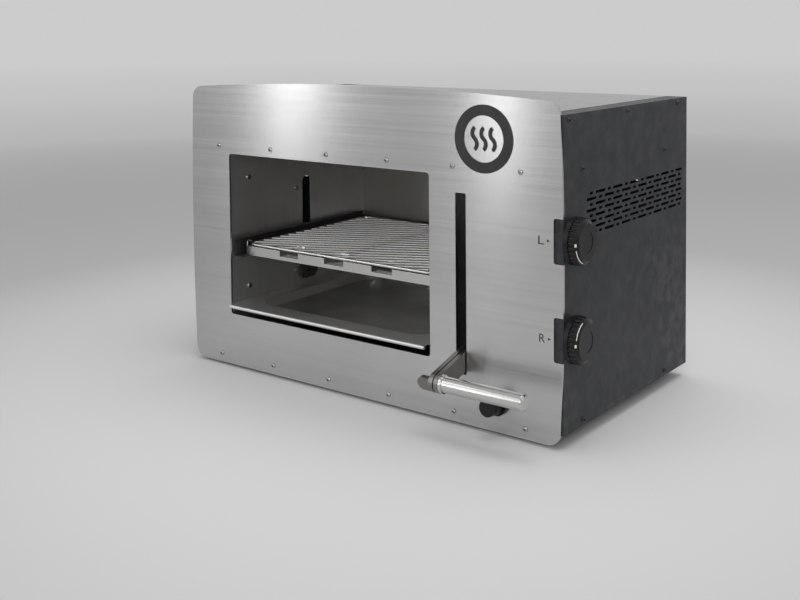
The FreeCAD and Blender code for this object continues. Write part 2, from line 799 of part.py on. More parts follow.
# Front rail that takes the upper row of plate screws.
rail_x = ("case_left + front_flange + 1", "case_right - front_flange - 1")
rail_leg = block("rail_leg", rail_x, front_skin, ("window_top + rail_lift", "rail_crown"))
rail_foot = block("rail_foot", rail_x, ("case_front", "case_front + rail_flange"),
                  ("window_top + rail_lift", "window_top + rail_lift + skin"))
rail_holes = [rod(f"rail_hole_{index}", "y", x, 0, z, "screw_radius", "screw_length * 2")
              for index, (x, z) in enumerate(screw_places) if z == "screw_top_z"]
node("front_rail", cut("front_rail_cut", join("front_rail_folded", rail_leg, rail_foot),
                       gather("rail_holes", rail_holes)))

# Cooking chamber: two slotted side walls and a back wall.
guide_slot_half = "roller_radius + roller_clearance"
DOME_PLACES = [(43, 275), (147, 245.5), (145, 116), (42, 112), (290, 275), (290, 112)]
domes = []
for side, inner, outer in (("left", "chamber_left", "chamber_left - skin"),
                           ("right", "chamber_right", "chamber_right + skin")):
    wall_x = (outer, inner) if side == "left" else (inner, outer)
    wall = block(f"chamber_{side}_blank", wall_x, ("case_front", "chamber_back_y + skin"),
                 ("pan_top", "chamber_top"))
    slot = rounded(f"guide_slot_{side}", block(
        f"guide_slot_{side}_block", (f"{wall_x[0]} - skin", f"{wall_x[1]} + skin"),
        (f"guide_y - ({guide_slot_half})", f"guide_y + {guide_slot_half}"), ("guide_base", "guide_top")),
        X_AXIS, "roller_radius")
    nick = block(f"chamber_{side}_nick", (f"{wall_x[0]} - skin", f"{wall_x[1]} + skin"),
                 ("case_front - 1", "case_front + rail_flange"), ("window_top + rail_lift", "rail_crown"))
    node(f"chamber_{side}_wall", cut(f"chamber_{side}_cut", wall, slot, nick))
    for index, (y, z) in enumerate(DOME_PLACES):
        start = inner if side == "left" else f"{inner} - dome_height"
        domes.append(rod(f"dome_{side}_{index}", "x", start, y, z, "dome_radius", "dome_height"))
ELECTRODE_X = {"left": "window_centre_x - window_width / 4", "right": "window_centre_x + window_width / 4"}
back_wall = block("chamber_back_blank", ("chamber_left", "chamber_right"),
                  ("chamber_back_y", "chamber_back_y + skin"), ("pan_top", "chamber_top"))
electrode_holes = [rod(f"electrode_hole_{side}", "y", x, "chamber_back_y - skin", "electrode_z",
                       "electrode_radius", "skin * 3") for side, x in ELECTRODE_X.items()]
node("chamber_back_wall", cut("chamber_back_cut", back_wall, *electrode_holes))
node("chamber_screws", gather("chamber_screws_group", domes))

# Brackets that tie the chamber to the casing on both sides.
brackets = []
for side, wall_x, case_x in (("left", "chamber_left - skin", "case_left + skin"),
                             ("right", "chamber_right + skin", "case_right - skin")):
    span = (case_x, wall_x) if side == "left" else (wall_x, case_x)
    for index, (y, z) in enumerate(TIE_SCREWS):
        bar = block(f"{side}_bar_{index}", span, (f"{y} - tie_half_depth", f"{y} + tie_half_depth"),
                    (f"{z} - tie_half_height", f"{z} + tie_half_height"))
        hollow = block(f"{side}_bar_hollow_{index}", (f"{span[0]} + tie_sheet", f"{span[1]} - tie_sheet"),
                       (f"{y} - tie_half_depth - tie_sheet", f"{y} + tie_half_depth - tie_sheet"),
                       (f"{z} - tie_half_height - tie_sheet", f"{z} + tie_half_height - tie_sheet"))
        pilot = rod(f"{side}_bar_pilot_{index}", "x", "case_left", y, z, "screw_radius", "case_width")
        brackets.append(cut(f"{side}_bracket_{index}", bar, hollow, pilot))
node("chamber_brackets", gather("chamber_brackets_group", brackets))

# Tray rails: angles on the chamber walls under the tray's rim.
rails = []
for side, wall, direction in (("left", "chamber_left", "+"), ("right", "chamber_right", "-")):
    leg_x = [wall, f"{wall} {direction} rail_sheet"]
    ledge_x = [wall, f"{wall} {direction} tray_ledge"]
    if direction == "-":
        leg_x.reverse()
        ledge_x.reverse()
    leg = block(f"{side}_tray_leg", leg_x, ("rail_front_y", "rail_back_y"), ("tray_ledge_z - 14", "tray_ledge_z"))
    ledge = block(f"{side}_tray_ledge", ledge_x, ("rail_front_y", "rail_back_y"),
                  ("tray_ledge_z - rail_sheet", "tray_ledge_z"))
    rails.append(join(f"{side}_tray_rail", leg, ledge))
node("tray_rails", gather("tray_rails_group", rails))

# Burner deck on the chamber walls, with two ceramic burners hanging in it.
burner_width = "(window_width - burner_gap) / 2"
burner_depth = "burner_back_y - burner_front_y"
BURNER_X = {
    "left": ("window_left", f"window_left + {burner_width}"),
    "right": (f"window_right - {burner_width}", "window_right"),
}
burner_y = ("burner_front_y", "burner_back_y")
lip_y = ("burner_front_y - housing_lip", "burner_back_y + housing_lip")
deck = block("deck_sheet", ("chamber_left - skin - deck_overhang", "chamber_right + skin + deck_overhang"),
             ("case_front + skin", "chamber_back_y + skin + deck_back_overhang"),
             ("chamber_top", "chamber_top + skin"))
deck_windows = []
screens = []
tiles = []
for side, (low, high) in BURNER_X.items():
    deck_windows.append(block(f"deck_window_{side}", (low, high), burner_y,
                              ("chamber_top - skin", "chamber_top + 2 * skin")))
    shell = block(f"{side}_shell", (low, high), burner_y, ("burner_base", "burner_top"))
    lip = block(f"{side}_lip", (f"{low} - burner_gap / 2", f"{high} + burner_gap / 2"), lip_y,
                ("chamber_top + skin", "chamber_top + 2 * skin"))
    hollow = block(f"{side}_hollow", (f"{low} + skin", f"{high} - skin"),
                   ("burner_front_y + skin", "burner_back_y - skin"), ("burner_base + skin", "burner_top - skin"))
    mouth = block(f"{side}_mouth", (f"{low} + burner_lip", f"{high} - burner_lip"),
                  ("burner_front_y + burner_lip", "burner_back_y - burner_lip"),
                  ("burner_base - skin", "burner_base + 2 * skin"))
    feed = rod(f"{side}_feed", "z", f"(({low}) + ({high})) / 2", f"{side}_tube_y", "burner_top - 2 * skin",
               "spigot_radius - mixing_tube_wall", "skin * 4")
    node(f"{side}_burner_housing",
         cut(f"{side}_housing_cut", join(f"{side}_housing", shell, lip), hollow, mouth, feed))
    tile_x = [f"{low} + skin + tile_gap", f"(({low}) + ({high}) - tile_gap) / 2",
              f"(({low}) + ({high}) + tile_gap) / 2", f"{high} - skin - tile_gap"]
    tile_y = ["burner_front_y + skin + tile_gap", "(burner_front_y + burner_back_y - tile_gap) / 2",
              "(burner_front_y + burner_back_y + tile_gap) / 2", "burner_back_y - skin - tile_gap"]
    for column in (0, 2):
        for row in (0, 2):
            tiles.append(block(f"{side}_tile_{column}_{row}", (tile_x[column], tile_x[column + 1]),
                               (tile_y[row], tile_y[row + 1]),
                               ("burner_base + skin", "burner_base + skin + tile_thickness")))
    screen_z = ("burner_base - screen_thickness", "burner_base")
    sheet_block = block(f"{side}_screen_sheet", (low, high), burner_y, screen_z)
    columns = int(number("screen_columns"))
    rows = int(number("screen_rows"))
    cells = []
    for column in range(columns):
        for row in range(rows):
            cell_x = [f"{low} + ({burner_width} - screen_bridge) * {column + shift} / {columns}"
                      f" + screen_bridge * {1 - shift}" for shift in (0, 1)]
            cell_y = [f"burner_front_y + ({burner_depth} - screen_bridge) * {row + shift} / {rows}"
                      f" + screen_bridge * {1 - shift}" for shift in (0, 1)]
            cells.append(block(f"{side}_cell_{column}_{row}", cell_x, cell_y,
                               ("burner_base - 2 * screen_thickness", "burner_base + screen_thickness")))
    screens.append(cut(f"{side}_screen", sheet_block, gather(f"{side}_cells", cells)))
node("burner_deck", cut("burner_deck_cut", deck, *deck_windows))
node("burner_tiles", gather("burner_tiles_group", tiles))
node("burner_screens", gather("burner_screens_group", screens))

# Mixing tubes over the burners, each with an air collar facing its injector.
tubes = []
injectors = []
for side, (low, high) in BURNER_X.items():
    centre = f"(({low}) + ({high})) / 2"
    y = f"{side}_tube_y"
    start = f"{centre} - mixing_tube_radius"
    long_tube = rod(f"{side}_long_tube", "x", start, y, "mixing_tube_z", "mixing_tube_radius",
                    f"mixing_tube_end_x - ({start})")
    collar = rod(f"{side}_air_collar", "x", "mixing_tube_end_x - air_collar_setback", y, "mixing_tube_z",
                 "mixing_tube_radius + air_collar_proud", "air_collar_length")
    spigot = rod(f"{side}_spigot", "z", centre, y, "burner_top", "spigot_radius", "mixing_tube_z - burner_top")
    bore = rod(f"{side}_tube_bore", "x", f"{start} + mixing_tube_wall", y, "mixing_tube_z",
               "mixing_tube_radius - mixing_tube_wall", f"mixing_tube_end_x - ({start})")
    drop = rod(f"{side}_drop_bore", "z", centre, y, "burner_top - skin", "spigot_radius - mixing_tube_wall",
               "mixing_tube_z - burner_top + skin")
    tubes.append(cut(f"{side}_mixing_tube", join(f"{side}_tube_body", long_tube, collar, spigot), bore, drop))
    nut = rod(f"{side}_injector_nut", "x", "injector_plate_x + strip_thickness", y, "mixing_tube_z",
              "injector_radius", "injector_length")
    nozzle = rod(f"{side}_nozzle", "x", "mixing_tube_end_x - nozzle_overlap", y, "mixing_tube_z",
                 "injector_radius / 2", "injector_plate_x - mixing_tube_end_x + 2 * nozzle_overlap")
    injectors.append(join(f"{side}_injector", nut, nozzle))
node("mixing_tubes", gather("mixing_tubes_group", tubes))
node("injectors", gather("injectors_group", injectors))
holder = block("holder_sheet", ("injector_plate_x", "injector_plate_x + strip_thickness"),
               ("left_tube_y - holder_margin", "right_tube_y + holder_margin"),
               ("mixing_tube_z - holder_drop", "case_top - 2 * skin"))
holder_holes = [rod(f"holder_hole_{side}", "x", "injector_plate_x - strip_thickness", f"{side}_tube_y",
                    "mixing_tube_z", "injector_radius / 2", "strip_thickness * 3") for side in BURNER_X]
node("injector_bracket", cut("injector_bracket_cut", holder, *holder_holes))

# Gas valves on a strip inside the right side panel, with their manifold and pipes.
valve_x = ("valve_face_x - valve_length", "valve_face_x")
strip_x = ("case_right - skin - strip_thickness", "case_right - skin")
strip_cuts = []
for side in ("left", "right"):
    z = f"knob_{side}_z"
    body = block(f"{side}_valve_block", valve_x, ("knob_y - valve_half", "knob_y + valve_half"),
                 (f"{z} - valve_half", f"{z} + valve_half"))
    soft_body = rounded(f"{side}_valve_soft", body, X_AXIS, "valve_half / 3")
    neck = rod(f"{side}_valve_neck", "x", "valve_face_x", "knob_y", z, "valve_neck_radius",
               "case_right - skin - valve_face_x")
    nut = rod(f"{side}_valve_nut", "x", "case_right - skin - strip_thickness - valve_nut_length", "knob_y", z,
              "valve_neck_radius + valve_nut_proud", "valve_nut_length")
    bore = rod(f"{side}_valve_bore", "x", "valve_face_x - knob_travel - valve_bore_depth", "knob_y", z,
               "spindle_radius + running_gap", "valve_length")
    node(f"{side}_gas_valve", cut(f"{side}_valve_cut", join(f"{side}_valve_body", soft_body, neck, nut), bore))
    strip_cuts.append(rod(f"{side}_strip_hole", "x", "valve_face_x", "knob_y", z, "valve_neck_radius",
                          "valve_length"))
strip = block("valve_strip", strip_x, ("case_front + skin + soft_gap", "knob_y + valve_strip_reach"),
              ("knob_right_z - valve_strip_margin", "knob_left_z + valve_strip_margin"))
node("valve_bracket", cut("valve_bracket_cut", strip, *strip_cuts))

riser = rod("manifold_riser", "z", "pipe_x", "manifold_y", "manifold_base", "manifold_radius",
            "knob_left_z + manifold_top - manifold_base")
stubs = [rod(f"manifold_stub_{side}", "y", "pipe_x", "knob_y + valve_half", f"knob_{side}_z",
             "manifold_radius - stub_inset", "manifold_y - knob_y - valve_half") for side in ("left", "right")]
node("gas_manifold", join("gas_manifold_body", riser, *stubs))
inlet_start_y = "manifold_y + manifold_radius - saddle_depth"
inlet_pipe = rod("inlet_pipe", "y", "pipe_x", inlet_start_y, "inlet_z", "inlet_radius",
                 f"case_back - inlet_nut_length - ({inlet_start_y})")
inlet_nut = rod("inlet_nut", "y", "pipe_x", "case_back - inlet_nut_length", "inlet_z",
                "inlet_fitting_radius + inlet_nut_proud", "inlet_nut_length - skin")
inlet_collar = rod("inlet_collar", "y", "pipe_x", "case_back - skin", "inlet_z",
                   "inlet_fitting_radius + inlet_shoulder_proud", "skin + inlet_shoulder")
inlet_thread = rod("inlet_thread", "y", "pipe_x", "case_back + inlet_shoulder", "inlet_z",
                   "inlet_fitting_radius", "inlet_reach - inlet_shoulder")
inlet_bore = rod("inlet_bore", "y", "pipe_x", "case_back + inlet_reach - inlet_bore_depth", "inlet_z",
                 "inlet_fitting_radius - inlet_wall", "inlet_bore_depth + 1")
inlet_saddle = rod("inlet_saddle", "z", "pipe_x", "manifold_y", "manifold_base", "manifold_radius",
                   "knob_right_z - manifold_base")
inlet_whole = join("gas_inlet_body", inlet_pipe, inlet_nut, inlet_collar, inlet_thread)
node("gas_inlet", cut("gas_inlet_cut", inlet_whole, inlet_bore, inlet_saddle))

# Gas pipes from the valves up to the injectors.
injector_end_x = "injector_plate_x + strip_thickness + injector_length"
valve_back_x = "valve_face_x - valve_length"
right_run_x = f"{valve_back_x} - right_pipe_inset"
left_route = [("pipe_x", "knob_y", "knob_left_z + valve_half"),
              ("pipe_x", "knob_y", "knob_left_z + left_pipe_climb"),
              ("pipe_x", "left_tube_y - left_pipe_lead", "mixing_tube_z - left_pipe_drop"),
              ("pipe_x - left_pipe_run", "left_tube_y", "mixing_tube_z"),
              (injector_end_x, "left_tube_y", "mixing_tube_z")]
right_route = [(valve_back_x, "knob_y", "knob_right_z"),
               (f"{valve_back_x} - right_pipe_lead", "knob_y", "knob_right_z"),
               (right_run_x, "knob_y + right_pipe_back", "knob_right_z + right_pipe_climb"),
               (right_run_x, "right_tube_y - right_pipe_back", "mixing_tube_z - right_pipe_drop"),
               (right_run_x, "right_tube_y", "mixing_tube_z"),
               (injector_end_x, "right_tube_y", "mixing_tube_z")]
node("left_gas_pipe", bent_tube("left_gas_pipe_tube", left_route, "pipe_radius", "pipe_bend"))
node("right_gas_pipe", bent_tube("right_gas_pipe_tube", right_route, "pipe_radius", "pipe_bend"))

# Spark electrodes through the chamber's back wall.
electrodes = []
for side, x in ELECTRODE_X.items():
    ceramic = rod(f"{side}_ceramic", "y", x, "chamber_back_y - electrode_inset", "electrode_z", "electrode_radius",
                  "electrode_length")
    tip = rod(f"{side}_tip", "y", x, "chamber_back_y - spark_tip_reach", "electrode_z", "spark_tip_radius",
              "spark_tip_reach - electrode_inset")
    electrodes.append(join(f"{side}_electrode", ceramic, tip))
node("electrodes", gather("electrodes_group", electrodes))

# Igniter: a fixed bezel and spark unit, with a push button that travels.
bezel_bore = "button_radius - bezel_wall"
unit_front_y = "plate_thickness + igniter_gap"
bezel = ring("bezel_ring", "y", "igniter_x", "-bezel_height", "igniter_z", "bezel_radius", bezel_bore,
             "bezel_height")
sleeve = ring("bezel_sleeve", "y", "igniter_x", 0, "igniter_z", "button_radius", bezel_bore, unit_front_y)
node("igniter_bezel", join("igniter_bezel_body", bezel, sleeve))
unit = rod("unit_can", "y", "igniter_x", unit_front_y, "igniter_z", "button_radius + 1", "igniter_length")
unit_well = rod("unit_well", "y", "igniter_x", "plate_thickness", "igniter_z", bezel_bore, "igniter_length / 2")
node("igniter_body", cut("igniter_body_cut", unit, unit_well))
button_shaft = rod("button_shaft", "y", "igniter_x", "-bezel_height - button_shaft_reach", "igniter_z",
                   f"{bezel_bore} - running_gap",
                   "bezel_height + button_shaft_reach + plate_thickness + button_shaft_tail")
cap_length = "button_reach - bezel_height - button_travel - 1"
button_cap = taper("button_cap", "y", "igniter_x", "-button_reach", "igniter_z", "button_radius - 1.5",
                   "button_radius", cap_length)
flutes = []
flute_count = int(number("button_flutes"))
flute_circle = "(button_radius + button_flute_offset)"
for index in range(flute_count):
    turn = 360 / flute_count * index
    flutes.append(rod(f"button_flute_{index}", "y", f"igniter_x + {flute_circle} * cos({turn})",
                      "-button_reach - 1", f"igniter_z + {flute_circle} * sin({turn})",
                      "button_flute_radius", f"{cap_length} - 1"))
fluted_cap = cut("button_cap_cut", button_cap, gather("button_flutes", flutes))
node("igniter_button", join("igniter_button_body", fluted_cap, button_shaft))

# Ignition wires from the spark unit round the chamber to the electrodes.
WIRE_SPREAD = 5
wires = []
for offset, (side, x) in zip((-WIRE_SPREAD, WIRE_SPREAD), ELECTRODE_X.items()):
    unit_back_y = "plate_thickness + igniter_length"
    wires.append(bent_tube(f"{side}_wire", [
        (x, "chamber_back_y + electrode_length - electrode_inset", "electrode_z"),
        (x, "chamber_back_y + 31", "electrode_z"),
        (f"{x} + 45", f"chamber_back_y + 31 + {offset / 2}", f"electrode_z + {8 + offset}"),
        ("chamber_right + 70", f"chamber_back_y + 26 + {offset / 2}", f"electrode_z + {6 + offset}"),
        (f"igniter_x - 8 + {offset}", "chamber_back_y - 30", "electrode_z - 40"),
        (f"igniter_x + {offset}", f"{unit_back_y} + 60", "igniter_z + 60"),
        (f"igniter_x + {offset}", f"{unit_back_y} + 26", "igniter_z"),
        (f"igniter_x + {offset}", f"{unit_back_y} + igniter_gap", "igniter_z")], "wire_radius", "wire_bend"))
node("ignition_wires", gather("ignition_wires_group", wires))

# Control knobs: a drum scalloped towards its front edge, a cone and a flat face, on a spindle that
# turns and pushes.
knob_outline = [
    ("knob_length - face_recess_depth", 0),
    ("knob_length - face_recess_depth", "face_recess_radius"),
    ("knob_length", "face_recess_radius"),
    ("knob_length", "knob_face_radius"),
    ("drum_length", "drum_front_radius"),
    (1, "drum_radius"),
    (0, "drum_radius - 1"),
    (0, 0),
]
for side in ("left", "right"):
    z = f"knob_{side}_z"
    knob_turned = turned_body(f"{side}_knob_turned", knob_outline)
    place(knob_turned, "knob_back_x", "knob_y", z)
    cuts = []
    count = int(number("knob_flutes"))
    for index in range(count):
        turn = 360 / count * (index + 0.5)
        cuts.append(rod(f"{side}_flute_{index}", "x", "knob_back_x + flute_start",
                        f"knob_y + flute_circle_radius * cos({turn})",
                        f"{z} + flute_circle_radius * sin({turn})", "flute_radius", "knob_length"))
    socket = rod(f"{side}_socket", "x", "knob_back_x - 1", "knob_y", z, "spindle_radius", "socket_depth + 1")
    node(f"{side}_knob", cut(f"{side}_knob_cut", knob_turned, gather(f"{side}_flutes", cuts), socket))
    seat = rod(f"{side}_seat_disc", "x", "valve_face_x - seat_depth - seat_thickness", "knob_y", z,
               "spindle_radius - seat_clearance", "seat_thickness")
    node(f"{side}_spring_seat", seat)
    node(f"{side}_spindle", rod(f"{side}_spindle_rod", "x", "valve_face_x - seat_depth", "knob_y", z,
                                "spindle_radius", "knob_back_x + socket_depth - valve_face_x + seat_depth"))

# Lift lever: two sheets side by side, drawn along the arm and turned down to the rest angle.
slide_low = "pin_reach - pin_radius - 2 * pin_clearance"
slide_high = "pin_reach / cos(max(lever_rest_angle; lever_top_angle)) + pin_radius + 2 * pin_clearance"


def tilt(item, x):
    """Place an item drawn about the pivot, with the arm running to -Y."""
    item.Placement = Placement(Vector(), Rotation(X_AXIS, number("lever_rest_angle")))
    item.setExpression("Placement.Rotation.Angle", expand("lever_rest_angle"))
    place(item, x, "pivot_y", "pivot_z")
    return item


def arm_body(name, reach, thickness, x, end_half="lever_half", shoulder=None):
    """A flat arm out from the pivot, drawn in to its end half-height over the length of a shoulder."""
    points = [(0, "-lever_half"), (0, "lever_half")]
    if shoulder:
        shoulder_at = f"-({reach}) + {shoulder}"
        points = [(shoulder_at, "-lever_half"), *points, (shoulder_at, "lever_half")]
    points = [(f"-({reach})", f"-{end_half}"), *points, (f"-({reach})", end_half)]
    return tilt(padded_body(name + "_bar", "YZ_Plane", points, thickness), x)


def lever_rod(name, along, radius, x, length):
    """A round bar along X at a distance out along the arm."""
    y = f"pivot_y - ({along}) * cos(lever_rest_angle)"
    z = f"pivot_z - ({along}) * sin(lever_rest_angle)"
    return rod(name, "x", x, y, z, radius, length)


def pin_slot(name, x, length):
    half = "(pin_radius + pin_clearance)"
    points = [(f"-({slide_high})", f"-{half}"), (f"-({slide_low})", f"-{half}"),
              (f"-({slide_low})", half), (f"-({slide_high})", half)]
    return tilt(padded_body(name, "YZ_Plane", points, length), x)


arm_x = {"left": "slot_centre_x - lever_half_width", "right": "slot_centre_x + lever_gap / 2"}
for side, x in arm_x.items():
    bar = arm_body(f"{side}_arm", "lever_length", "lever_sheet", x, "ear_radius", "lever_shoulder")
    hub = rod(f"{side}_hub", "x", x, "pivot_y", "pivot_z", "hub_radius", "lever_sheet")
    ear = lever_rod(f"{side}_ear", "lever_length", "ear_radius", x, "lever_sheet")
    pieces = [bar, hub, ear]
    if side == "left":
        paddle_points = [("-paddle_length", "-paddle_half"), (0, "-paddle_half"), (0, "paddle_half"),
                         ("-paddle_length", "paddle_half")]
        paddle = padded_body("paddle", "XZ_Plane", paddle_points, "lever_sheet",
                             arcs={3: "paddle_half * 1.02"}, reverse=True)
        paddle.Placement = Placement(Vector(), Rotation(X_AXIS, number("lever_rest_angle")))
        paddle.setExpression("Placement.Rotation.Angle", expand("lever_rest_angle"))
        place(paddle, f"{x} + 1",
              "handle_y - lever_sheet / 2 * cos(lever_rest_angle) + paddle_drop * sin(lever_rest_angle)",
              "handle_z - lever_sheet / 2 * sin(lever_rest_angle) - paddle_drop * cos(lever_rest_angle)")
        pieces.append(paddle)
    bore = rod(f"{side}_arm_bore", "x", f"{x} - 1", "pivot_y", "pivot_z", "shaft_radius", "lever_sheet + 2")
    slot = pin_slot(f"{side}_arm_slot", f"{x} - 1", "lever_sheet + 2")
    node(f"lever_{side}_arm", cut(f"{side}_arm_cut", join(f"{side}_arm_whole", *pieces), bore, slot))
link = arm_body("link", "pin_reach + link_overrun + lever_half", "link_thickness", "link_x - link_thickness")
link_hub = rod("link_hub", "x", "link_x - link_thickness", "pivot_y", "pivot_z", "hub_radius", "link_thickness")
link_bore = rod("link_bore", "x", "link_x - link_thickness - 1", "pivot_y", "pivot_z", "shaft_radius",
                "link_thickness + 2")
node("link_arm", cut("link_arm_cut", join("link_whole", link, link_hub), link_bore,
                     pin_slot("link_slot", "link_x - link_thickness - 1", "link_thickness + 2")))

lever_right_x = "slot_centre_x + lever_half_width"
grip = lever_rod("handle_grip", "lever_length", "handle_radius", lever_right_x, "handle_length")
collar = lever_rod("handle_collar", "lever_length", "collar_radius", lever_right_x, "collar_length")
doc.recompute()
grip_soft = doc.addObject("Part::Chamfer", "handle_grip_soft")
grip_soft.Base = grip
chamfer = number("handle_chamfer")
far_rims = [n for n, edge in enumerate(grip.Shape.Edges, start=1) if isinstance(edge.Curve, Part.Circle)
            and edge.CenterOfMass.x > grip.Shape.BoundBox.Center.x]
grip_soft.Edges = [(n, chamfer, chamfer) for n in far_rims]
node("handle_bar", join("handle_bar_body", grip_soft, collar))
SPACERS_ALONG = (60, 260)
spacers = [lever_rod(f"arm_spacer_{index}", along, "spacer_radius", "slot_centre_x - lever_gap / 2", "lever_gap")
           for index, along in enumerate(SPACERS_ALONG)]
node("arm_spacers", gather("arm_spacers_group", spacers))

# Lift shaft behind the chamber, carried by three bearing blocks on the back panel.
shaft_start = "link_x - link_thickness - shaft_left_overrun"
shaft_end = "slot_centre_x + lever_half_width + shaft_right_overrun"
node("lift_shaft", rod("lift_shaft_rod", "x", shaft_start, "pivot_y", "pivot_z", "shaft_radius",
                       f"{shaft_end} - ({shaft_start})"))
blocks = []
BEARING_PLACES = ("link_x + bearing_left_gap", "window_centre_x - bearing_width / 2",
                  f"{shaft_end} - bearing_right_gap")
for index, x in enumerate(BEARING_PLACES):
    lug = block(f"bearing_lug_{index}", (x, f"{x} + bearing_width"),
                ("pivot_y - bearing_reach", "case_back - skin"),
                ("pivot_z - bearing_half_height", "pivot_z + bearing_half_height"))
    soft_lug = rounded(f"bearing_soft_{index}", lug, X_AXIS, "bearing_corner")
    bore = rod(f"bearing_bore_{index}", "x", f"{x} - 1", "pivot_y", "pivot_z", "shaft_radius + running_gap",
               "bearing_width + 2")
    blocks.append(cut(f"bearing_{index}", soft_lug, bore))
node("shaft_bearings", gather("shaft_bearings_group", blocks))

# Carriage: two channel rails, their brackets and rollers, and a bar across the back.
plates = []
rollers = []
guide_bolts = []
pins = []
rail_web = "bracket_standoff + bracket_thickness"
washer_back = "-skin - washer_gap - washer_thickness"
for side, wall, sign in (("left", "chamber_left", 1), ("right", "chamber_right", -1)):
    def inward(low, high, wall=wall, sign=sign):
        """Two places at distances from the chamber wall's inner face, towards the middle."""
        if sign > 0:
            return (f"{wall} + ({low})", f"{wall} + ({high})")
        return (f"{wall} - ({high})", f"{wall} - ({low})")

    def across_wall(name, z, radius, low, high, wall=wall, sign=sign):
        start, end = inward(low, high)
        return rod(name, "x", start, "guide_y", z, radius, f"({end}) - ({start})")
    rail_y = ("rail_front_y", "rail_back_y")
    rail_top = "rail_base + rail_height"
    web = block(f"{side}_rail_web", inward(rail_web, f"{rail_web} + rail_sheet"), rail_y,
                ("rail_base", rail_top))
    ledge = block(f"{side}_rail_ledge", inward(rail_web, f"{rail_web} + rail_ledge"), rail_y,
                  ("rail_base", "rail_base + rail_sheet"))
    cap = block(f"{side}_rail_cap", inward(rail_web, f"{rail_web} + rail_ledge / 2"), rail_y,
                (f"{rail_top} - rail_sheet", rail_top))
    node(f"{side}_rack_rail", join(f"{side}_rail_folded", web, ledge, cap))
    plate = block(f"{side}_bracket_block", inward("bracket_standoff", rail_web),
                  ("guide_y - bracket_half", "guide_y + bracket_half"),
                  ("bracket_base", f"{rail_top} - bracket_drop"))
    doc.recompute()
    nicked = doc.addObject("Part::Chamfer", f"{side}_bracket_nicked")
    nicked.Base = plate
    lower = [n for n in edges_along(plate.Shape, X_AXIS) if plate.Shape.Edges[n - 1].CenterOfMass.z
             < plate.Shape.BoundBox.Center.z]
    nick = number("bracket_chamfer")
    nicked.Edges = [(n, nick, nick) for n in lower]
    for name, z in (("low", "guide_low_z"), ("high", "guide_high_z")):
        rollers.append(ring(f"{side}_{name}_roller", "x", inward("-skin - washer_gap", "bracket_standoff")[0],
                            "guide_y", z, "roller_radius", "bolt_radius", "bracket_standoff + skin + washer_gap"))
        shank = across_wall(f"{side}_{name}_shank", z, "bolt_radius", "-skin - bolt_reach", rail_web)
        head = across_wall(f"{side}_{name}_head", z, "bolt_radius + bolt_head_proud", rail_web,
                           f"{rail_web} + bolt_head_height")
        washer = across_wall(f"{side}_{name}_washer", z, "roller_radius + washer_proud", washer_back,
                             "-skin - washer_gap")
        nut = across_wall(f"{side}_{name}_nut", z, "bolt_radius + nut_proud", f"{washer_back} - nut_height",
                          washer_back)
        guide_bolts.append(join(f"{side}_{name}_bolt", shank, head, washer, nut))
    bolt_holes = [across_wall(f"{side}_{name}_clear", z, "bolt_radius", 0, f"2 * ({rail_web})")
                  for name, z in (("low", "guide_low_z"), ("high", "guide_high_z"))]
    plates.append(cut(f"{side}_bracket", nicked, *bolt_holes))
    pin_end = "chamber_left - (link_x - link_thickness - pin_overrun)"
    if side == "right":
        pin_end = f"{lever_right_x} + pin_overrun - chamber_right"
    pins.append(across_wall(f"{side}_drive_pin", "drive_pin_z", "pin_radius", f"-({pin_end})", "bracket_standoff"))
node("carriage_brackets", gather("carriage_brackets_group", plates))
node("guide_rollers", gather("guide_rollers_group", rollers))
node("guide_bolts", gather("guide_bolts_group", guide_bolts))
node("drive_pins", gather("drive_pins_group", pins))
node("rear_crossbar", block("rear_crossbar_bar", (f"chamber_left + {rail_web}", f"chamber_right - ({rail_web})"),
                            ("rail_back_y", "rail_back_y + crossbar_depth"),
                            ("rail_base + crossbar_lift", "rail_base + crossbar_lift + crossbar_height")))

# Rack: a notched front strip, a wire rim and rods laid at an angle across it.
strip_z = ("rack_base", "rack_base + strip_height")
rack_y = ("rack_front_y", "rack_back_y")
strip_x = ("rack_left + strip_inset", "rack_right - strip_inset")
notch_floor = "rack_base + strip_height - rack_notch_height"
strip_block = block("strip_block", strip_x, ("rack_front_y", "rack_front_y + strip_sheet"), strip_z)
strip_notches = []
tabs = []
for index in (-1, 0, 1):
    centre = f"window_centre_x + rack_notch_pitch * {index}"
    pair = (f"{centre} - rack_notch / 2", f"{centre} + rack_notch / 2")
    strip_notches.append(block(f"strip_notch_{index + 1}", pair,
                               ("rack_front_y - strip_sheet", "rack_front_y + 2 * strip_sheet"),
                               (notch_floor, "rack_base + strip_height + 1")))
    tabs.append(block(f"strip_tab_{index + 1}", pair, ("rack_front_y", "rack_front_y + tab_depth"),
                      (f"{notch_floor} - strip_sheet", notch_floor)))
strip_sides = [block(f"strip_side_{index}", pair, rack_y, ("rack_base", "rack_base + strip_sheet"))
               for index, pair in enumerate((("rack_left", "rack_left + strip_foot"),
                                             ("rack_right - strip_foot", "rack_right")))]
strip_walls = [block(f"strip_wall_{index}", pair, rack_y, strip_z)
               for index, pair in enumerate(((strip_x[0], f"{strip_x[0]} + strip_sheet"),
                                             (f"{strip_x[1]} - strip_sheet", strip_x[1])))]
strip_back = block("strip_back", strip_x, ("rack_back_y - strip_sheet", "rack_back_y"), strip_z)
support = block("rack_support", ("window_centre_x - support_bar / 2", "window_centre_x + support_bar / 2"),
                rack_y, (f"{notch_floor} - strip_sheet", notch_floor))
strip_front = cut("strip_notched", strip_block, gather("strip_notches", strip_notches))
node("rack_frame", join("strip_folded", strip_front, *tabs, *strip_sides, *strip_walls, strip_back, support))

rim_x = ("rack_left + rim_radius", "rack_right - rim_radius")
rim_y = ("rack_front_y + rim_radius + rim_setback", "rack_back_y - rim_radius")


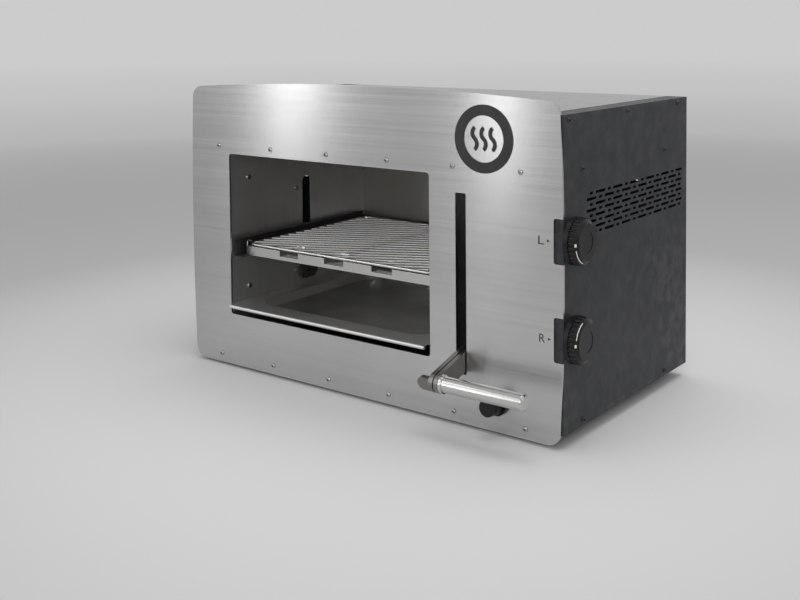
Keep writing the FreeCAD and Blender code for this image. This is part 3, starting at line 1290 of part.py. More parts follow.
def rim_tube():
    """The closed wire rim, a rounded rectangle swept round."""
    low_x, high_x = (number(x) - number("middle_x") for x in rim_x)
    low_y, high_y = (number(y) - number("middle_y") for y in rim_y)
    z = number("rim_z")
    corner = Part.makeBox(high_x - low_x, high_y - low_y, 1, Vector(low_x, low_y, z))
    upright = [edge for edge in corner.Edges if abs(edge.tangentAt(edge.FirstParameter).z) > 0.9]
    soft = corner.makeFillet(number("rim_corner"), upright)
    base = min(soft.Faces, key=lambda face: face.CenterOfMass.z)
    path = Part.Wire(Part.__sortEdges__(base.OuterWire.Edges))
    first = path.OrderedEdges[0]
    spot = first.valueAt(first.FirstParameter)
    section = Part.Wire(Part.Circle(spot, first.tangentAt(first.FirstParameter), number("rim_radius")).toShape())
    return path.makePipeShell([section], True, False)


rim = doc.addObject("Part::Feature", "rack_rim")
rim.Shape = rim_tube()
rods = []
angle = math.radians(number("rod_angle"))
pitch = number("rod_pitch")
low_x, high_x = (number(x) - number("middle_x") for x in rim_x)
low_y, high_y = (number(y) - number("middle_y") for y in rim_y)
run = Vector(math.cos(angle), math.sin(angle), 0)
normal = Vector(-math.sin(angle), math.cos(angle), 0)
reach = max(high_x - low_x, high_y - low_y)
centre = Vector((low_x + high_x) / 2, (low_y + high_y) / 2, number("rim_z"))
for index in range(-int(reach / pitch), int(reach / pitch) + 1):
    base = centre + normal * (pitch * index)
    crossings = []
    for limit, along in ((low_x, "x"), (high_x, "x"), (low_y, "y"), (high_y, "y")):
        step = (limit - getattr(base, along)) / getattr(run, along)
        spot = base + run * step
        if low_x - 0.01 <= spot.x <= high_x + 0.01 and low_y - 0.01 <= spot.y <= high_y + 0.01:
            crossings.append(step)
    length = max(crossings) - min(crossings) if len(crossings) >= 2 else 0
    if length > 2 * number("rim_corner"):
        start = base + run * min(crossings)
        rods.append(Part.makeCylinder(number("rod_radius"), length, start, run))
grate = doc.addObject("Part::Feature", "grate_welded")
grate.Shape = rim.Shape.fuse(rods).removeSplitter()
node("grill_grate", grate)

# Drip tray: a drawn pan with a wide rim and a rolled front hem.
basin_x = ("tray_left + tray_side_rim", "tray_right - tray_side_rim")
basin_y = ("tray_front_y + tray_front_rim", "tray_back_y - tray_side_rim")
basin_z = ("tray_rim_z - tray_depth", "tray_rim_z")


def drawn_well(name, inset):
    """A block with rounded corners and sloping lower walls, smaller by an inset all round."""
    well = block(name + "_block", (f"{basin_x[0]} + ({inset})", f"{basin_x[1]} - ({inset})"),
                 (f"{basin_y[0]} + ({inset})", f"{basin_y[1]} - ({inset})"),
                 (f"{basin_z[0]} + ({inset})", basin_z[1]))
    doc.recompute()
    soft = doc.addObject("Part::Fillet", name + "_sides")
    soft.Base = well
    side_size = number(f"tray_corner_radius - ({inset})")
    soft.Edges = [(n, side_size, side_size) for n in edges_along(well.Shape, Vector(0, 0, 1))]
    doc.recompute()
    drawn = doc.addObject("Part::Chamfer", name)
    drawn.Base = soft
    floor_size = number(f"tray_slope - ({inset}) * (2 - sqrt(2))")
    low = soft.Shape.BoundBox.ZMin
    drawn.Edges = [(n, floor_size, floor_size) for n, edge in enumerate(soft.Shape.Edges, start=1)
                   if abs(edge.CenterOfMass.z - low) < 0.01]
    return drawn


tray_rim = block("tray_rim", ("tray_left", "tray_right"), ("tray_front_y", "tray_back_y"),
                 ("tray_rim_z - tray_sheet", "tray_rim_z"))
hem = rod("tray_hem", "x", "tray_left", "tray_front_y", "tray_rim_z - tray_hem_radius", "tray_hem_radius",
          "tray_width")
tray_solid = join("tray_solid", tray_rim, hem, drawn_well("tray_outer", 0))
node("drip_tray", cut("drip_tray_cut", tray_solid, drawn_well("tray_inner", "tray_sheet")))

doc.recompute()
for item in doc.Objects:
    if "Invalid" in item.State or "Error" in item.State:
        raise RuntimeError(f"{item.Label} failed: {item.State}")
for name, item in NODES.items():
    if item.Shape.isNull() or not item.Shape.isValid():
        raise RuntimeError(f"{name} has no valid shape")
os.makedirs("parts", exist_ok=True)
for name, item in NODES.items():
    item.Shape.exportStep(f"parts/{name}.step")
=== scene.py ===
import json
import math

import bmesh
import bpy
from mathutils import Matrix, Vector


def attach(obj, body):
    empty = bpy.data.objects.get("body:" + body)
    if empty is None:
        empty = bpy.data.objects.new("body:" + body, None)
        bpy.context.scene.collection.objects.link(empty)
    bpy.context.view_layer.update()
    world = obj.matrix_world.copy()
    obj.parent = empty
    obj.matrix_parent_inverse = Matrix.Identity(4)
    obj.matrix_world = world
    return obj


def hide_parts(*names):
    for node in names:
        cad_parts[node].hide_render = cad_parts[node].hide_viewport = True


# Infrared gas grill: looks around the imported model.
# Metres, front towards -Y, knobs on +X, the grill stands on Z = 0.

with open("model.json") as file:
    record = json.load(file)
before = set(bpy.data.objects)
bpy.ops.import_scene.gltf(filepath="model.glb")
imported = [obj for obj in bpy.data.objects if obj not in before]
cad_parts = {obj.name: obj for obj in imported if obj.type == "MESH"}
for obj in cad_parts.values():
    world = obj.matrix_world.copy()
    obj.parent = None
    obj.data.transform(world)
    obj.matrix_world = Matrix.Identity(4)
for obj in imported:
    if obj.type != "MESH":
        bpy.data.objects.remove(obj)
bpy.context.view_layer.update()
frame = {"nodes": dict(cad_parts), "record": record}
scene = bpy.context.scene

MM = 0.001
PLATE_MIDDLE_X = 11.2     # middle of the front plate to the middle of the whole grill
PLATE_FRONT_Y = 155.488   # front face of the plate to the middle of the whole grill


def spot(x, y, z):
    """A point measured in millimetres from the foot of the front plate's middle."""
    return Vector((x - PLATE_MIDDLE_X, y - PLATE_FRONT_Y, z)) * MM


def grey(value):
    return (value, value, value, 1.0)


# Shader helpers

def put(tree, kind, inputs=None, **settings):
    """Adds a node; an input given as a socket is linked, any other value is set."""
    made = tree.nodes.new(kind)
    for name, value in settings.items():
        setattr(made, name, value)
    for key, value in (inputs or {}).items():
        if isinstance(value, bpy.types.NodeSocket):
            tree.links.new(value, made.inputs[key])
        else:
            made.inputs[key].default_value = value
    return made


def maths(tree, operation, *values):
    return put(tree, "ShaderNodeMath", dict(enumerate(values)), operation=operation).outputs[0]


def scaled(tree, colour, factor):
    return put(tree, "ShaderNodeVectorMath", {0: colour, 3: factor}, operation="SCALE").outputs[0]


def blend_colour(tree, share, first, second):
    return put(tree, "ShaderNodeMix", {0: share, 6: first, 7: second}, data_type="RGBA").outputs[2]


def spread(tree, value, low, high, to_low=0.0, to_high=1.0):
    """Maps a value's stretch from low to high on to another stretch, and holds it there."""
    made = put(tree, "ShaderNodeMapRange", {0: value, 1: low, 2: high, 3: to_low, 4: to_high})
    return made.outputs[0]


def noise(tree, point, scale, detail=2.0, roughness=0.5):
    made = put(tree, "ShaderNodeTexNoise",
               {"Vector": point, "Scale": scale, "Detail": detail, "Roughness": roughness})
    return made.outputs["Fac"]


def effect(name, takes, gives):
    """Starts a shared effect: a node group with named inputs and outputs."""
    group = bpy.data.node_groups.new(name, "ShaderNodeTree")
    for label, kind, value in takes:
        socket = group.interface.new_socket(label, in_out="INPUT", socket_type="NodeSocket" + kind)
        socket.default_value = value
    for label, kind in gives:
        group.interface.new_socket(label, in_out="OUTPUT", socket_type="NodeSocket" + kind)
    start = group.nodes.new("NodeGroupInput")
    end = group.nodes.new("NodeGroupOutput")
    return group, start.outputs, end.inputs


def object_point(tree):
    return put(tree, "ShaderNodeTexCoord").outputs["Object"]


# Shared effects

FINE_STREAKS = 0.6        # share of the fine streaks in the brushing, the rest is coarse
DUST_ROUGHNESS = 0.6      # added to the roughness where dust lies thick
EDGE_SHEEN_POLISH = 0.15         # taken from the roughness along a painted edge highlight


def make_brushing():
    """Long fine streaks with a softer unevenness under them."""
    group, takes, gives = effect(
        "brushing",
        [("Stretch", "Vector", (4.0, 4.0, 700.0)), ("Colour", "Color", grey(0.6)),
         ("Contrast", "Float", 0.2), ("Roughness", "Float", 0.3), ("Roughness Spread", "Float", 0.1)],
        [("Colour", "Color"), ("Roughness", "Float"), ("Height", "Float")])
    point = object_point(group)
    stretched = put(group, "ShaderNodeMapping", {"Vector": point, "Scale": takes["Stretch"]}).outputs[0]
    fine = noise(group, stretched, 1.0, 3.0, 0.6)
    coarse = noise(group, stretched, 0.23, 2.0, 0.5)
    cloud = noise(group, point, 9.0, 3.0, 0.55)
    coarse_part = maths(group, "MULTIPLY", coarse, 1 - FINE_STREAKS)
    streaks = maths(group, "MULTIPLY_ADD", fine, FINE_STREAKS, coarse_part)
    centred = maths(group, "SUBTRACT", streaks, 0.5)
    tone = maths(group, "MULTIPLY", centred, takes["Contrast"])
    half_contrast = maths(group, "MULTIPLY", takes["Contrast"], 0.5)
    drift = maths(group, "MULTIPLY", maths(group, "SUBTRACT", cloud, 0.5), half_contrast)
    factor = maths(group, "ADD", maths(group, "ADD", tone, drift), 1.0)
    rough = maths(group, "MULTIPLY_ADD", centred, takes["Roughness Spread"], takes["Roughness"])
    group.links.new(scaled(group, takes["Colour"], factor), gives["Colour"])
    group.links.new(rough, gives["Roughness"])
    group.links.new(streaks, gives["Height"])
    return group


def make_handling():
    """Faint smudges and settled dust that dull a surface in places."""
    group, takes, gives = effect(
        "handling",
        [("Size", "Float", 14.0), ("Colour", "Color", grey(0.5)), ("Dust", "Color", grey(0.35)),
         ("Amount", "Float", 0.1), ("Roughness", "Float", 0.4)],
        [("Colour", "Color"), ("Roughness", "Float")])
    cloud = noise(group, object_point(group), takes["Size"], 5.0, 0.62)
    patch = spread(group, cloud, 0.45, 0.75)
    normal = put(group, "ShaderNodeNewGeometry").outputs["Normal"]
    up = put(group, "ShaderNodeSeparateXYZ", {0: normal}).outputs[2]
    lying = spread(group, up, 0.3, 1.0, 0.35, 1.0)
    mask = maths(group, "MULTIPLY", patch, maths(group, "MULTIPLY", lying, takes["Amount"]))
    rough = maths(group, "MULTIPLY_ADD", mask, DUST_ROUGHNESS, takes["Roughness"])
    group.links.new(blend_colour(group, mask, takes["Colour"], takes["Dust"]), gives["Colour"])
    group.links.new(rough, gives["Roughness"])
    return group


def make_grit():
    """The pebbled skin of powder coat, rubber or moulded plastic."""
    group, takes, gives = effect(
        "grit",
        [("Size", "Float", 1400.0), ("Colour", "Color", grey(0.1)), ("Speck", "Float", 0.15)],
        [("Colour", "Color"), ("Height", "Float")])
    point = object_point(group)
    cells = put(group, "ShaderNodeTexVoronoi", {"Vector": point, "Scale": takes["Size"]}, feature="SMOOTH_F1")
    fine = noise(group, point, takes["Size"], 2.0, 0.5)
    height = maths(group, "MULTIPLY", maths(group, "ADD", cells.outputs["Distance"], fine), 0.5)
    factor = maths(group, "MULTIPLY_ADD", maths(group, "SUBTRACT", fine, 0.5), takes["Speck"], 1.0)
    group.links.new(scaled(group, takes["Colour"], factor), gives["Colour"])
    group.links.new(height, gives["Height"])
    return group


def make_edge_sheen():
    """Painted highlight: sharp edges drawn lighter, as if they caught light, broken up so that no edge is lit
    evenly.
    """
    group, takes, gives = effect(
        "painted edge sheen",
        [("Colour", "Color", grey(0.1)), ("Rubbed", "Color", grey(0.3)), ("Amount", "Float", 0.5),
         ("Roughness", "Float", 0.5)],
        [("Colour", "Color"), ("Roughness", "Float")])
    pointed = put(group, "ShaderNodeNewGeometry").outputs["Pointiness"]
    ridge = spread(group, pointed, 0.51, 0.58)
    breaks = spread(group, noise(group, object_point(group), 55.0, 4.0, 0.6), 0.4, 0.65)
    mask = maths(group, "MULTIPLY", maths(group, "MULTIPLY", ridge, breaks), takes["Amount"])
    group.links.new(blend_colour(group, mask, takes["Colour"], takes["Rubbed"]), gives["Colour"])
    rough = maths(group, "MULTIPLY_ADD", mask, -EDGE_SHEEN_POLISH, takes["Roughness"])
    group.links.new(rough, gives["Roughness"])
    return group


def make_heat_tint_and_shade():
    """A darker colour on steel between two heights: heat stains under the burners, and painted shade on a
    tray's floor.
    """
    group, takes, gives = effect(
        "heat tint and painted shade",
        [("Colour", "Color", grey(0.4)), ("Stain", "Color", (0.2, 0.16, 0.12, 1.0)),
         ("Low", "Float", 0.05), ("High", "Float", 0.36), ("Amount", "Float", 0.4)],
        [("Colour", "Color")])
    point = object_point(group)
    level = put(group, "ShaderNodeSeparateXYZ", {0: point}).outputs[2]
    rise = spread(group, level, takes["Low"], takes["High"])
    cloud = spread(group, noise(group, point, 11.0, 4.0, 0.55), 0.35, 0.7, 0.4, 1.0)
    mask = maths(group, "MULTIPLY", maths(group, "MULTIPLY", rise, cloud), takes["Amount"])
    group.links.new(blend_colour(group, mask, takes["Colour"], takes["Stain"]), gives["Colour"])
    return group


BRUSHING = make_brushing()
HANDLING = make_handling()
GRIT = make_grit()
EDGE_SHEEN = make_edge_sheen()
HEAT_TINT_AND_SHADE = make_heat_tint_and_shade()


def use(tree, group, **inputs):
    """Places a shared effect in a material; an input's name is written with _ for a space."""
    named = {key.replace("_", " "): value for key, value in inputs.items()}
    return put(tree, "ShaderNodeGroup", named, node_tree=group)


def bump(tree, height, strength, distance):
    made = put(tree, "ShaderNodeBump", {"Height": height, "Strength": strength, "Distance": distance})
    return made.outputs[0]


def start_material(name):
    material = bpy.data.materials.new(name)
    material.use_nodes = True
    tree = material.node_tree
    return material, tree, tree.nodes["Principled BSDF"]


# Materials

def steel(name, tone, roughness, grain, contrast=0.2, unevenness=0.12, relief=0.02, anisotropic=0.0,
          rotation=0.0, stain_and_shade=0.0, stain_and_shade_heights=(0.05, 0.36), stain_and_shade_tone=(0.2, 0.16, 0.12), metallic=1.0):
    """Bare steel with brushing along its grain, smudges, and, where asked, a darker colour between two
    heights: heat stains on the liner, rack and back wall, painted shade on the tray's floor.
    """
    material, tree, shader = start_material(name)
    brushed = use(tree, BRUSHING, Stretch=grain, Colour=(*tone, 1.0), Contrast=contrast, Roughness=roughness,
                  Roughness_Spread=unevenness)
    colour = brushed.outputs["Colour"]
    if stain_and_shade:
        low, high = stain_and_shade_heights
        tinted_and_shaded = use(tree, HEAT_TINT_AND_SHADE, Colour=colour, Stain=(*stain_and_shade_tone, 1.0), Low=low, High=high,
                     Amount=stain_and_shade)
        colour = tinted_and_shaded.outputs["Colour"]
    handled = use(tree, HANDLING, Colour=colour, Dust=grey(0.3), Amount=0.05,
                  Roughness=brushed.outputs["Roughness"])
    tree.links.new(handled.outputs["Colour"], shader.inputs["Base Color"])
    tree.links.new(handled.outputs["Roughness"], shader.inputs["Roughness"])
    tree.links.new(bump(tree, brushed.outputs["Height"], 0.5, relief * MM), shader.inputs["Normal"])
    shader.inputs["Metallic"].default_value = metallic
    if anisotropic:
        shader.inputs["Anisotropic"].default_value = anisotropic
        shader.inputs["Anisotropic Rotation"].default_value = rotation
        tangent = put(tree, "ShaderNodeTangent", direction_type="RADIAL", axis="Z")
        tree.links.new(tangent.outputs[0], shader.inputs["Tangent"])
    return material


def coated(name, tone, roughness, grit_size, speck, relief, sheen_amount, sheen_tone=0.25, dust=0.06, coat=0.0, level=0.5):
    """Powder coat, enamel, rubber or moulded plastic: a pebbled skin, dust, and a painted highlight along
    sharp edges.
    """
    material, tree, shader = start_material(name)
    skin = use(tree, GRIT, Size=grit_size, Colour=(*tone, 1.0), Speck=speck)
    handled = use(tree, HANDLING, Colour=skin.outputs["Colour"], Dust=grey(0.25), Amount=dust,
                  Roughness=roughness)
    painted_edge_sheen = use(tree, EDGE_SHEEN, Colour=handled.outputs["Colour"], Rubbed=grey(sheen_tone), Amount=sheen_amount,
                      Roughness=handled.outputs["Roughness"])
    tree.links.new(painted_edge_sheen.outputs["Colour"], shader.inputs["Base Color"])
    tree.links.new(painted_edge_sheen.outputs["Roughness"], shader.inputs["Roughness"])
    tree.links.new(bump(tree, skin.outputs["Height"], 0.6, relief * MM), shader.inputs["Normal"])
    shader.inputs["Coat Weight"].default_value = coat
    shader.inputs["Specular IOR Level"].default_value = level
    return material


# How closely the grain repeats along X, Y and Z.
ALONG_X = (5.0, 300.0, 900.0)
ALONG_Y = (300.0, 5.0, 900.0)
ALONG_Z = (900.0, 300.0, 5.0)
TURNED_X = (900.0, 20.0, 20.0)
EVEN = (220.0, 220.0, 220.0)

FINISHES = {
    "stainless": steel("brushed stainless", (0.53, 0.53, 0.53), 0.23, ALONG_X, 0.32, 0.16, 0.02, 0.8, 0.25),
    "screw_steel": steel("screw steel", (0.4, 0.4, 0.4), 0.16, EVEN, 0.15),
    "badge_black": coated("badge black", (0.012, 0.013, 0.014), 0.42, 900.0, 0.1, 0.01, 0.1, 0.08),
    "casing_paint": coated("casing powder coat", (0.029, 0.031, 0.0335), 0.46, 1500.0, 0.2, 0.02, 0.25, 0.14,
                           level=0.2),
    "black_screw": coated("black oxide screw", (0.008, 0.008, 0.009), 0.24, 900.0, 0.2, 0.008, 0.3, 0.15),
    "foot_rubber": coated("foot rubber", (0.012, 0.012, 0.012), 0.7, 700.0, 0.3, 0.05, 0.0),
    "liner_steel": steel("rolled liner sheet", (0.6, 0.6, 0.59), 0.36, ALONG_Z, 0.16, 0.1, 0.01, stain_and_shade=0.2,
                         metallic=0.9),
    "burner_ceramic": coated("burner ceramic", (0.62, 0.57, 0.48), 0.85, 380.0, 0.3, 0.3, 0.0, dust=0.15),
    "rack_steel": steel("rack steel", (0.62, 0.62, 0.61), 0.24, EVEN, 0.12, 0.08, 0.006, stain_and_shade=0.05),
    "gas_brass": steel("turned brass", (0.62, 0.45, 0.2), 0.3, EVEN, 0.16),
    "gas_pipe": steel("drawn gas pipe", (0.62, 0.62, 0.62), 0.34, ALONG_Z, 0.14),
    "white_ceramic": coated("glazed electrode ceramic", (0.75, 0.73, 0.68), 0.25, 500.0, 0.04, 0.01, 0.0,
                            coat=0.5),
    "knob_plastic": coated("moulded black plastic", (0.005, 0.005, 0.0055), 0.3, 1100.0, 0.15, 0.006, 0.12,
                           0.04, level=0.3),
    "wire_rubber": coated("wire sleeve", (0.03, 0.03, 0.03), 0.5, 900.0, 0.2, 0.03, 0.0),
    "shaft_steel": steel("ground shaft steel", (0.45, 0.45, 0.45), 0.3, TURNED_X, 0.2),
    "lever_steel": steel("brushed lever sheet", (0.24, 0.235, 0.225), 0.32, ALONG_Y, 0.2, 0.12, 0.01),
    "handle_steel": steel("polished handle steel", (0.6, 0.6, 0.59), 0.17, TURNED_X, 0.06, 0.05, 0.003),
    "rail_black": coated("heat resistant black", (0.016, 0.016, 0.016), 0.5, 1100.0, 0.2, 0.02, 0.3, 0.12),
    # The tray's floor, below 82 mm, is drawn near black: painted shade under the rack.
    "tray_enamel": steel("drawn tray steel", (0.7, 0.7, 0.69), 0.38, EVEN, 0.14, 0.1, 0.006, stain_and_shade=2.2,
                         stain_and_shade_heights=(0.083, 0.081), stain_and_shade_tone=(0.032, 0.03, 0.028)),
}
SLOT_OF = {part["node"]: part["material_slot"] for part in frame["record"]["subparts"]}
BODY_OF = {node: body for body, nodes in frame["record"]["behaviour"]["bodies"].items() for node in nodes}

# Pieces whose finish differs from the others of their slot.
OWN_FINISH = {
    "top_cover": coated("polished powder coat", (0.06, 0.063, 0.066), 0.3, 1500.0, 0.2, 0.01, 0.25, 0.14,
                        coat=0.55),
    # The back wall is a darker copy of the liner sheet: painted shade deep in the chamber, with heat stains
    # over it.
    "chamber_back_wall": steel("back sheet with painted shade", (0.28, 0.28, 0.27), 0.45, ALONG_Z, 0.16, 0.1, 0.01,
                               stain_and_shade=0.35, metallic=0.85),
}


def finish_of(node):
    return OWN_FINISH.get(node, FINISHES[SLOT_OF[node]])


for name, node in frame["nodes"].items():
    node.data.materials.clear()
    node.data.materials.append(finish_of(name))


# Mesh helpers

WELD = 0.000004           # metres within which corners are one
LETTER_WELD = 0.000001    # the same for painted letters
FLAT_ANGLE = 0.05         # degrees between faces up to which they are joined into one flat face
SMOOTH_ANGLE = 34         # degrees between faces up to which they shade as one surface
NO_SHARP_EDGE = 180
EASE_ANGLE = 32           # degrees between faces from which their edge is eased
TURNED_SIDES = 30


def place_piece(name, mesh, like, *replaced, marked=None):
    """Links a mesh as a piece with the body and the finish of the CAD node it is like."""
    piece = bpy.data.objects.new(name, mesh)
    scene.collection.objects.link(piece)
    if not mesh.materials:
        mesh.materials.append(finish_of(like))
    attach(piece, BODY_OF[like])
    if replaced:
        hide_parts(*replaced)
    return piece


def soft_shade(mesh, angle=SMOOTH_ANGLE):
    if "custom_normal" in mesh.attributes:
        mesh.attributes.remove(mesh.attributes["custom_normal"])
    mesh.shade_smooth()
    mesh.set_sharp_from_angle(angle=math.radians(angle))


def eased(node, width):
    """The node's own solid with its sharp edges eased, so that they catch light."""
    mesh = frame["nodes"][node].data.copy()
    shape = bmesh.new()
    shape.from_mesh(mesh)
    bmesh.ops.remove_doubles(shape, verts=shape.verts, dist=WELD)
    bmesh.ops.dissolve_limit(shape, angle_limit=math.radians(FLAT_ANGLE), verts=shape.verts, edges=shape.edges)
    shape.to_mesh(mesh)
    shape.free()
    soft_shade(mesh, NO_SHARP_EDGE)
    piece = place_piece(node + "_eased", mesh, node, node)
    rounding = piece.modifiers.new("eased_edges", "BEVEL")
    rounding.width = width * MM
    rounding.segments = 2
    rounding.limit_method = "ANGLE"
    rounding.angle_limit = math.radians(EASE_ANGLE)
    rounding.harden_normals = True
    rounding.miter_outer = "MITER_ARC"


# Widths in millimetres.
EASED = {
    "front_plate": 0.45, "right_side_panel": 0.35, "left_side_panel": 0.35, "top_cover": 0.35,
    "back_panel": 0.3, "handle_bar": 0.4, "drip_tray": 0.4, "lever_left_arm": 0.3, "lever_right_arm": 0.5,
    "rack_frame": 0.3, "left_rack_rail": 0.6, "right_rack_rail": 0.6, "rear_crossbar": 0.6, "feet": 0.8,
    "igniter_bezel": 0.4, "chamber_left_wall": 0.25, "chamber_right_wall": 0.25, "tray_rails": 0.3,
}
for name, width in EASED.items():
    eased(name, width)


def finished(name, shape, angle=SMOOTH_ANGLE):
    """A mesh from a shape that was built face by face."""
    bmesh.ops.recalc_face_normals(shape, faces=shape.faces)
    mesh = bpy.data.meshes.new(name)
    shape.to_mesh(mesh)
    shape.free()
    soft_shade(mesh, angle)
    return mesh


def span_rings(shape, rings):
    """Adds faces between rings of points; a ring of one point is a tip."""
    for first, second in zip(rings, rings[1:]):
        count = max(len(first), len(second))
        for index in range(count):
            after = (index + 1) % count
            corners = [first[index % len(first)], first[after % len(first)],
                       second[after % len(second)], second[index % len(second)]]
            shape.faces.new(list(dict.fromkeys(corners)))


def lathe(shape, outline, start, along):
    """Adds a turned solid; the outline gives radii and distances along the axis in millimetres."""
    side = along.orthogonal().normalized()
    other = along.cross(side)
    turns = [2 * math.pi * index / TURNED_SIDES for index in range(TURNED_SIDES)]
    outward = [side * math.cos(turn) + other * math.sin(turn) for turn in turns]
    rings = []
    for radius, reach in outline:
        middle = start + along * reach * MM
        if radius == 0:
            rings.append([shape.verts.new(middle)])
        else:
            rings.append([shape.verts.new(middle + way * radius * MM) for way in outward])
    span_rings(shape, rings)


def prism(shape, outline, depth):
    """Adds a solid between an outline of points and the same outline moved by a depth."""
    front = [shape.verts.new(point) for point in outline]
    back = [shape.verts.new(point + depth) for point in outline]
    span_rings(shape, [front, back])
    shape.faces.new(front)
    shape.faces.new(list(reversed(back)))


def solids(mesh):
    """The points of each separate solid in a mesh."""
    shape = bmesh.new()
    shape.from_mesh(mesh)
    bmesh.ops.remove_doubles(shape, verts=shape.verts, dist=WELD)
    waiting = set(shape.verts)
    found = []
    while waiting:
        queue = [waiting.pop()]
        points = []
        while queue:
            corner = queue.pop()
            points.append(corner.co.copy())
            for edge in corner.link_edges:
                other = edge.other_vert(corner)
                if other in waiting:
                    waiting.remove(other)
                    queue.append(other)
        found.append(points)
    shape.free()
    return found


def mesh_of(curve):
    """The mesh of a letter or of a round wire that is drawn as a curve."""
    holder = bpy.data.objects.new(curve.name, curve)
    scene.collection.objects.link(holder)
    shown = holder.evaluated_get(bpy.context.evaluated_depsgraph_get())
    mesh = bpy.data.meshes.new_from_object(shown)
    bpy.data.objects.remove(holder)
    return mesh


# Screws: the modelled heads are given a dome and a driver socket.
# The head's outline is in shares of its radius and its height, from the socket's floor to the rim.

SCREW_HEAD = [(0, 0.8), (0.38, 0.8), (0.46, 0), (0.6, 0.06), (0.8, 0.3), (0.95, 0.65), (1, 0.78), (0.8, 1)]
END_DEPTH = 0.00002       # metres from an end within which points belong to it
LEAST_HEAD = 0.0002       # metres that every head is higher than


def domed_screws(node):
    """Turns each screw of a node anew, with a dome and a socket within the modelled head."""
    shape = bmesh.new()
    for points in solids(frame["nodes"][node].data):
        low = Vector([min(point[axis] for point in points) for axis in range(3)])
        high = Vector([max(point[axis] for point in points) for axis in range(3)])
        middle = (low + high) / 2
        size = high - low

        def unlike(way):
            """How far the size one way is from the sizes the other two ways."""
            return sum(abs(size[way] - size[(way + step) % 3]) for step in (1, 2))

        axis = max(range(3), key=unlike)
        along = Vector([float(way == axis) for way in range(3)])

        def radius_at(place):
            ring = [point - middle for point in points if abs(point[axis] - place) < END_DEPTH]
            return max((offset - along * offset[axis]).length for offset in ring) / MM

        head, shank = radius_at(low[axis]), radius_at(high[axis])
        start = middle - along * size[axis] / 2
        if shank > head:
            head, shank = shank, head
            start = middle + along * size[axis] / 2
            along = -along
        depths = [abs((point - start).dot(along)) for point in points]
        height = min(depth for depth in depths if depth > LEAST_HEAD) / MM
        length = size[axis] / MM
        outline = [(head * across, height * down) for across, down in SCREW_HEAD]
        outline += [(shank, height), (shank, length), (0, length)]
        lathe(shape, outline, start, along)
    place_piece(node + "_domed", finished(node + "_domed", shape), node, node)


for node in ("front_screws", "side_screws"):
    domed_screws(node)


# Knobs: a white tick and a white arc on each cone.

KNOB_Y = 17.0
KNOB_Z = {"left": 247.8, "right": 131.2}
CONE_START = 334.0        # X of the cone's wide end from the plate's middle
CONE_LENGTH = 4.3
CONE_WIDE = 27.8
CONE_NARROW = 21.8
MARK_SINK = 0.15
MARK_LIFT = 0.1
MARK_STEP = 3             # degrees
MARK_SMOOTH_ANGLE = 60
ARC_TURNS = {"left": (-70, -15), "right": (15, 70)}
ARC_ALONG = (0.42, 0.56)  # shares of the cone's length
TICK_TURNS = (-4, 4)
TICK_ALONG = (0.24, 0.6)


def cone_strip(shape, height, turns, along):
    """Adds a thin strip that lies on a knob's cone, between two turns up from -Y."""
    slope = Vector((CONE_LENGTH, CONE_NARROW - CONE_WIDE)).normalized()
    out = (-slope.y, slope.x)
    steps = max(4, int(abs(turns[1] - turns[0]) / MARK_STEP))
    start, end = along
    section = ((start, -MARK_SINK), (end, -MARK_SINK), (end, MARK_LIFT), (start, MARK_LIFT))
    rings = []
    for index in range(steps + 1):
        turn = math.radians(turns[0] + (turns[1] - turns[0]) * index / steps)
        ring = []
        for share, lift in section:
            x = CONE_START + CONE_LENGTH * share + out[0] * lift
            radius = CONE_WIDE + (CONE_NARROW - CONE_WIDE) * share + out[1] * lift
            place = spot(x, KNOB_Y - radius * math.cos(turn), height + radius * math.sin(turn))
            ring.append(shape.verts.new(place))
        rings.append(ring)
    span_rings(shape, rings)
    shape.faces.new(rings[0])
    shape.faces.new(list(reversed(rings[-1])))


for side, height in KNOB_Z.items():
    shape = bmesh.new()
    cone_strip(shape, height, ARC_TURNS[side], ARC_ALONG)
    cone_strip(shape, height, TICK_TURNS, TICK_ALONG)
    mesh = finished(f"{side}_knob_marks", shape, MARK_SMOOTH_ANGLE)
    mesh.materials.append(FINISHES["white_ceramic"])
    place_piece(f"{side}_knob_marks", mesh, f"{side}_knob", marked="white_ceramic")


# Plate labels: L and R for left and right burner, each with a small pointer.

LETTER_HEIGHT = 10.0
LETTER_WIDTH = 7.8
PAINT_LIFT = 0.08
LABELS = {"L": (285.8, 247.5), "R": (286.8, 131.0)}
POINTER = ((8.0, -1.7), (12.0, 0.0), (8.0, 1.7))


def letter(shape, text, x, z):
    """Adds a letter as a thin slab that lies on the front of the plate."""
    curve = bpy.data.curves.new(text, "FONT")
    curve.body = text
    curve.extrude = 0.5
    mesh = mesh_of(curve)
    low = [min(corner.co[axis] for corner in mesh.vertices) for axis in range(3)]
    high = [max(corner.co[axis] for corner in mesh.vertices) for axis in range(3)]
    for corner in mesh.vertices:
        across, up, out = ((corner.co[axis] - low[axis]) / (high[axis] - low[axis]) for axis in range(3))
        corner.co = spot(x + (across - 0.5) * LETTER_WIDTH, PAINT_LIFT * (1 - 2 * out),
                         z + (up - 0.5) * LETTER_HEIGHT)
    shape.from_mesh(mesh)
    bpy.data.meshes.remove(mesh)


shape = bmesh.new()
for text, (x, z) in LABELS.items():
    letter(shape, text, x, z)
    pointer = [spot(x + across, -PAINT_LIFT, z + up) for across, up in POINTER]
    prism(shape, pointer, Vector((0, 2 * PAINT_LIFT * MM, 0)))
bmesh.ops.remove_doubles(shape, verts=shape.verts, dist=LETTER_WELD)
mesh = finished("plate_labels", shape)
mesh.materials.append(FINISHES["badge_black"])
place_piece("plate_labels", mesh, "front_plate", marked="badge_black")


# Rack: low strips welded across the rods behind the notches, and a wire hook at the left front corner.

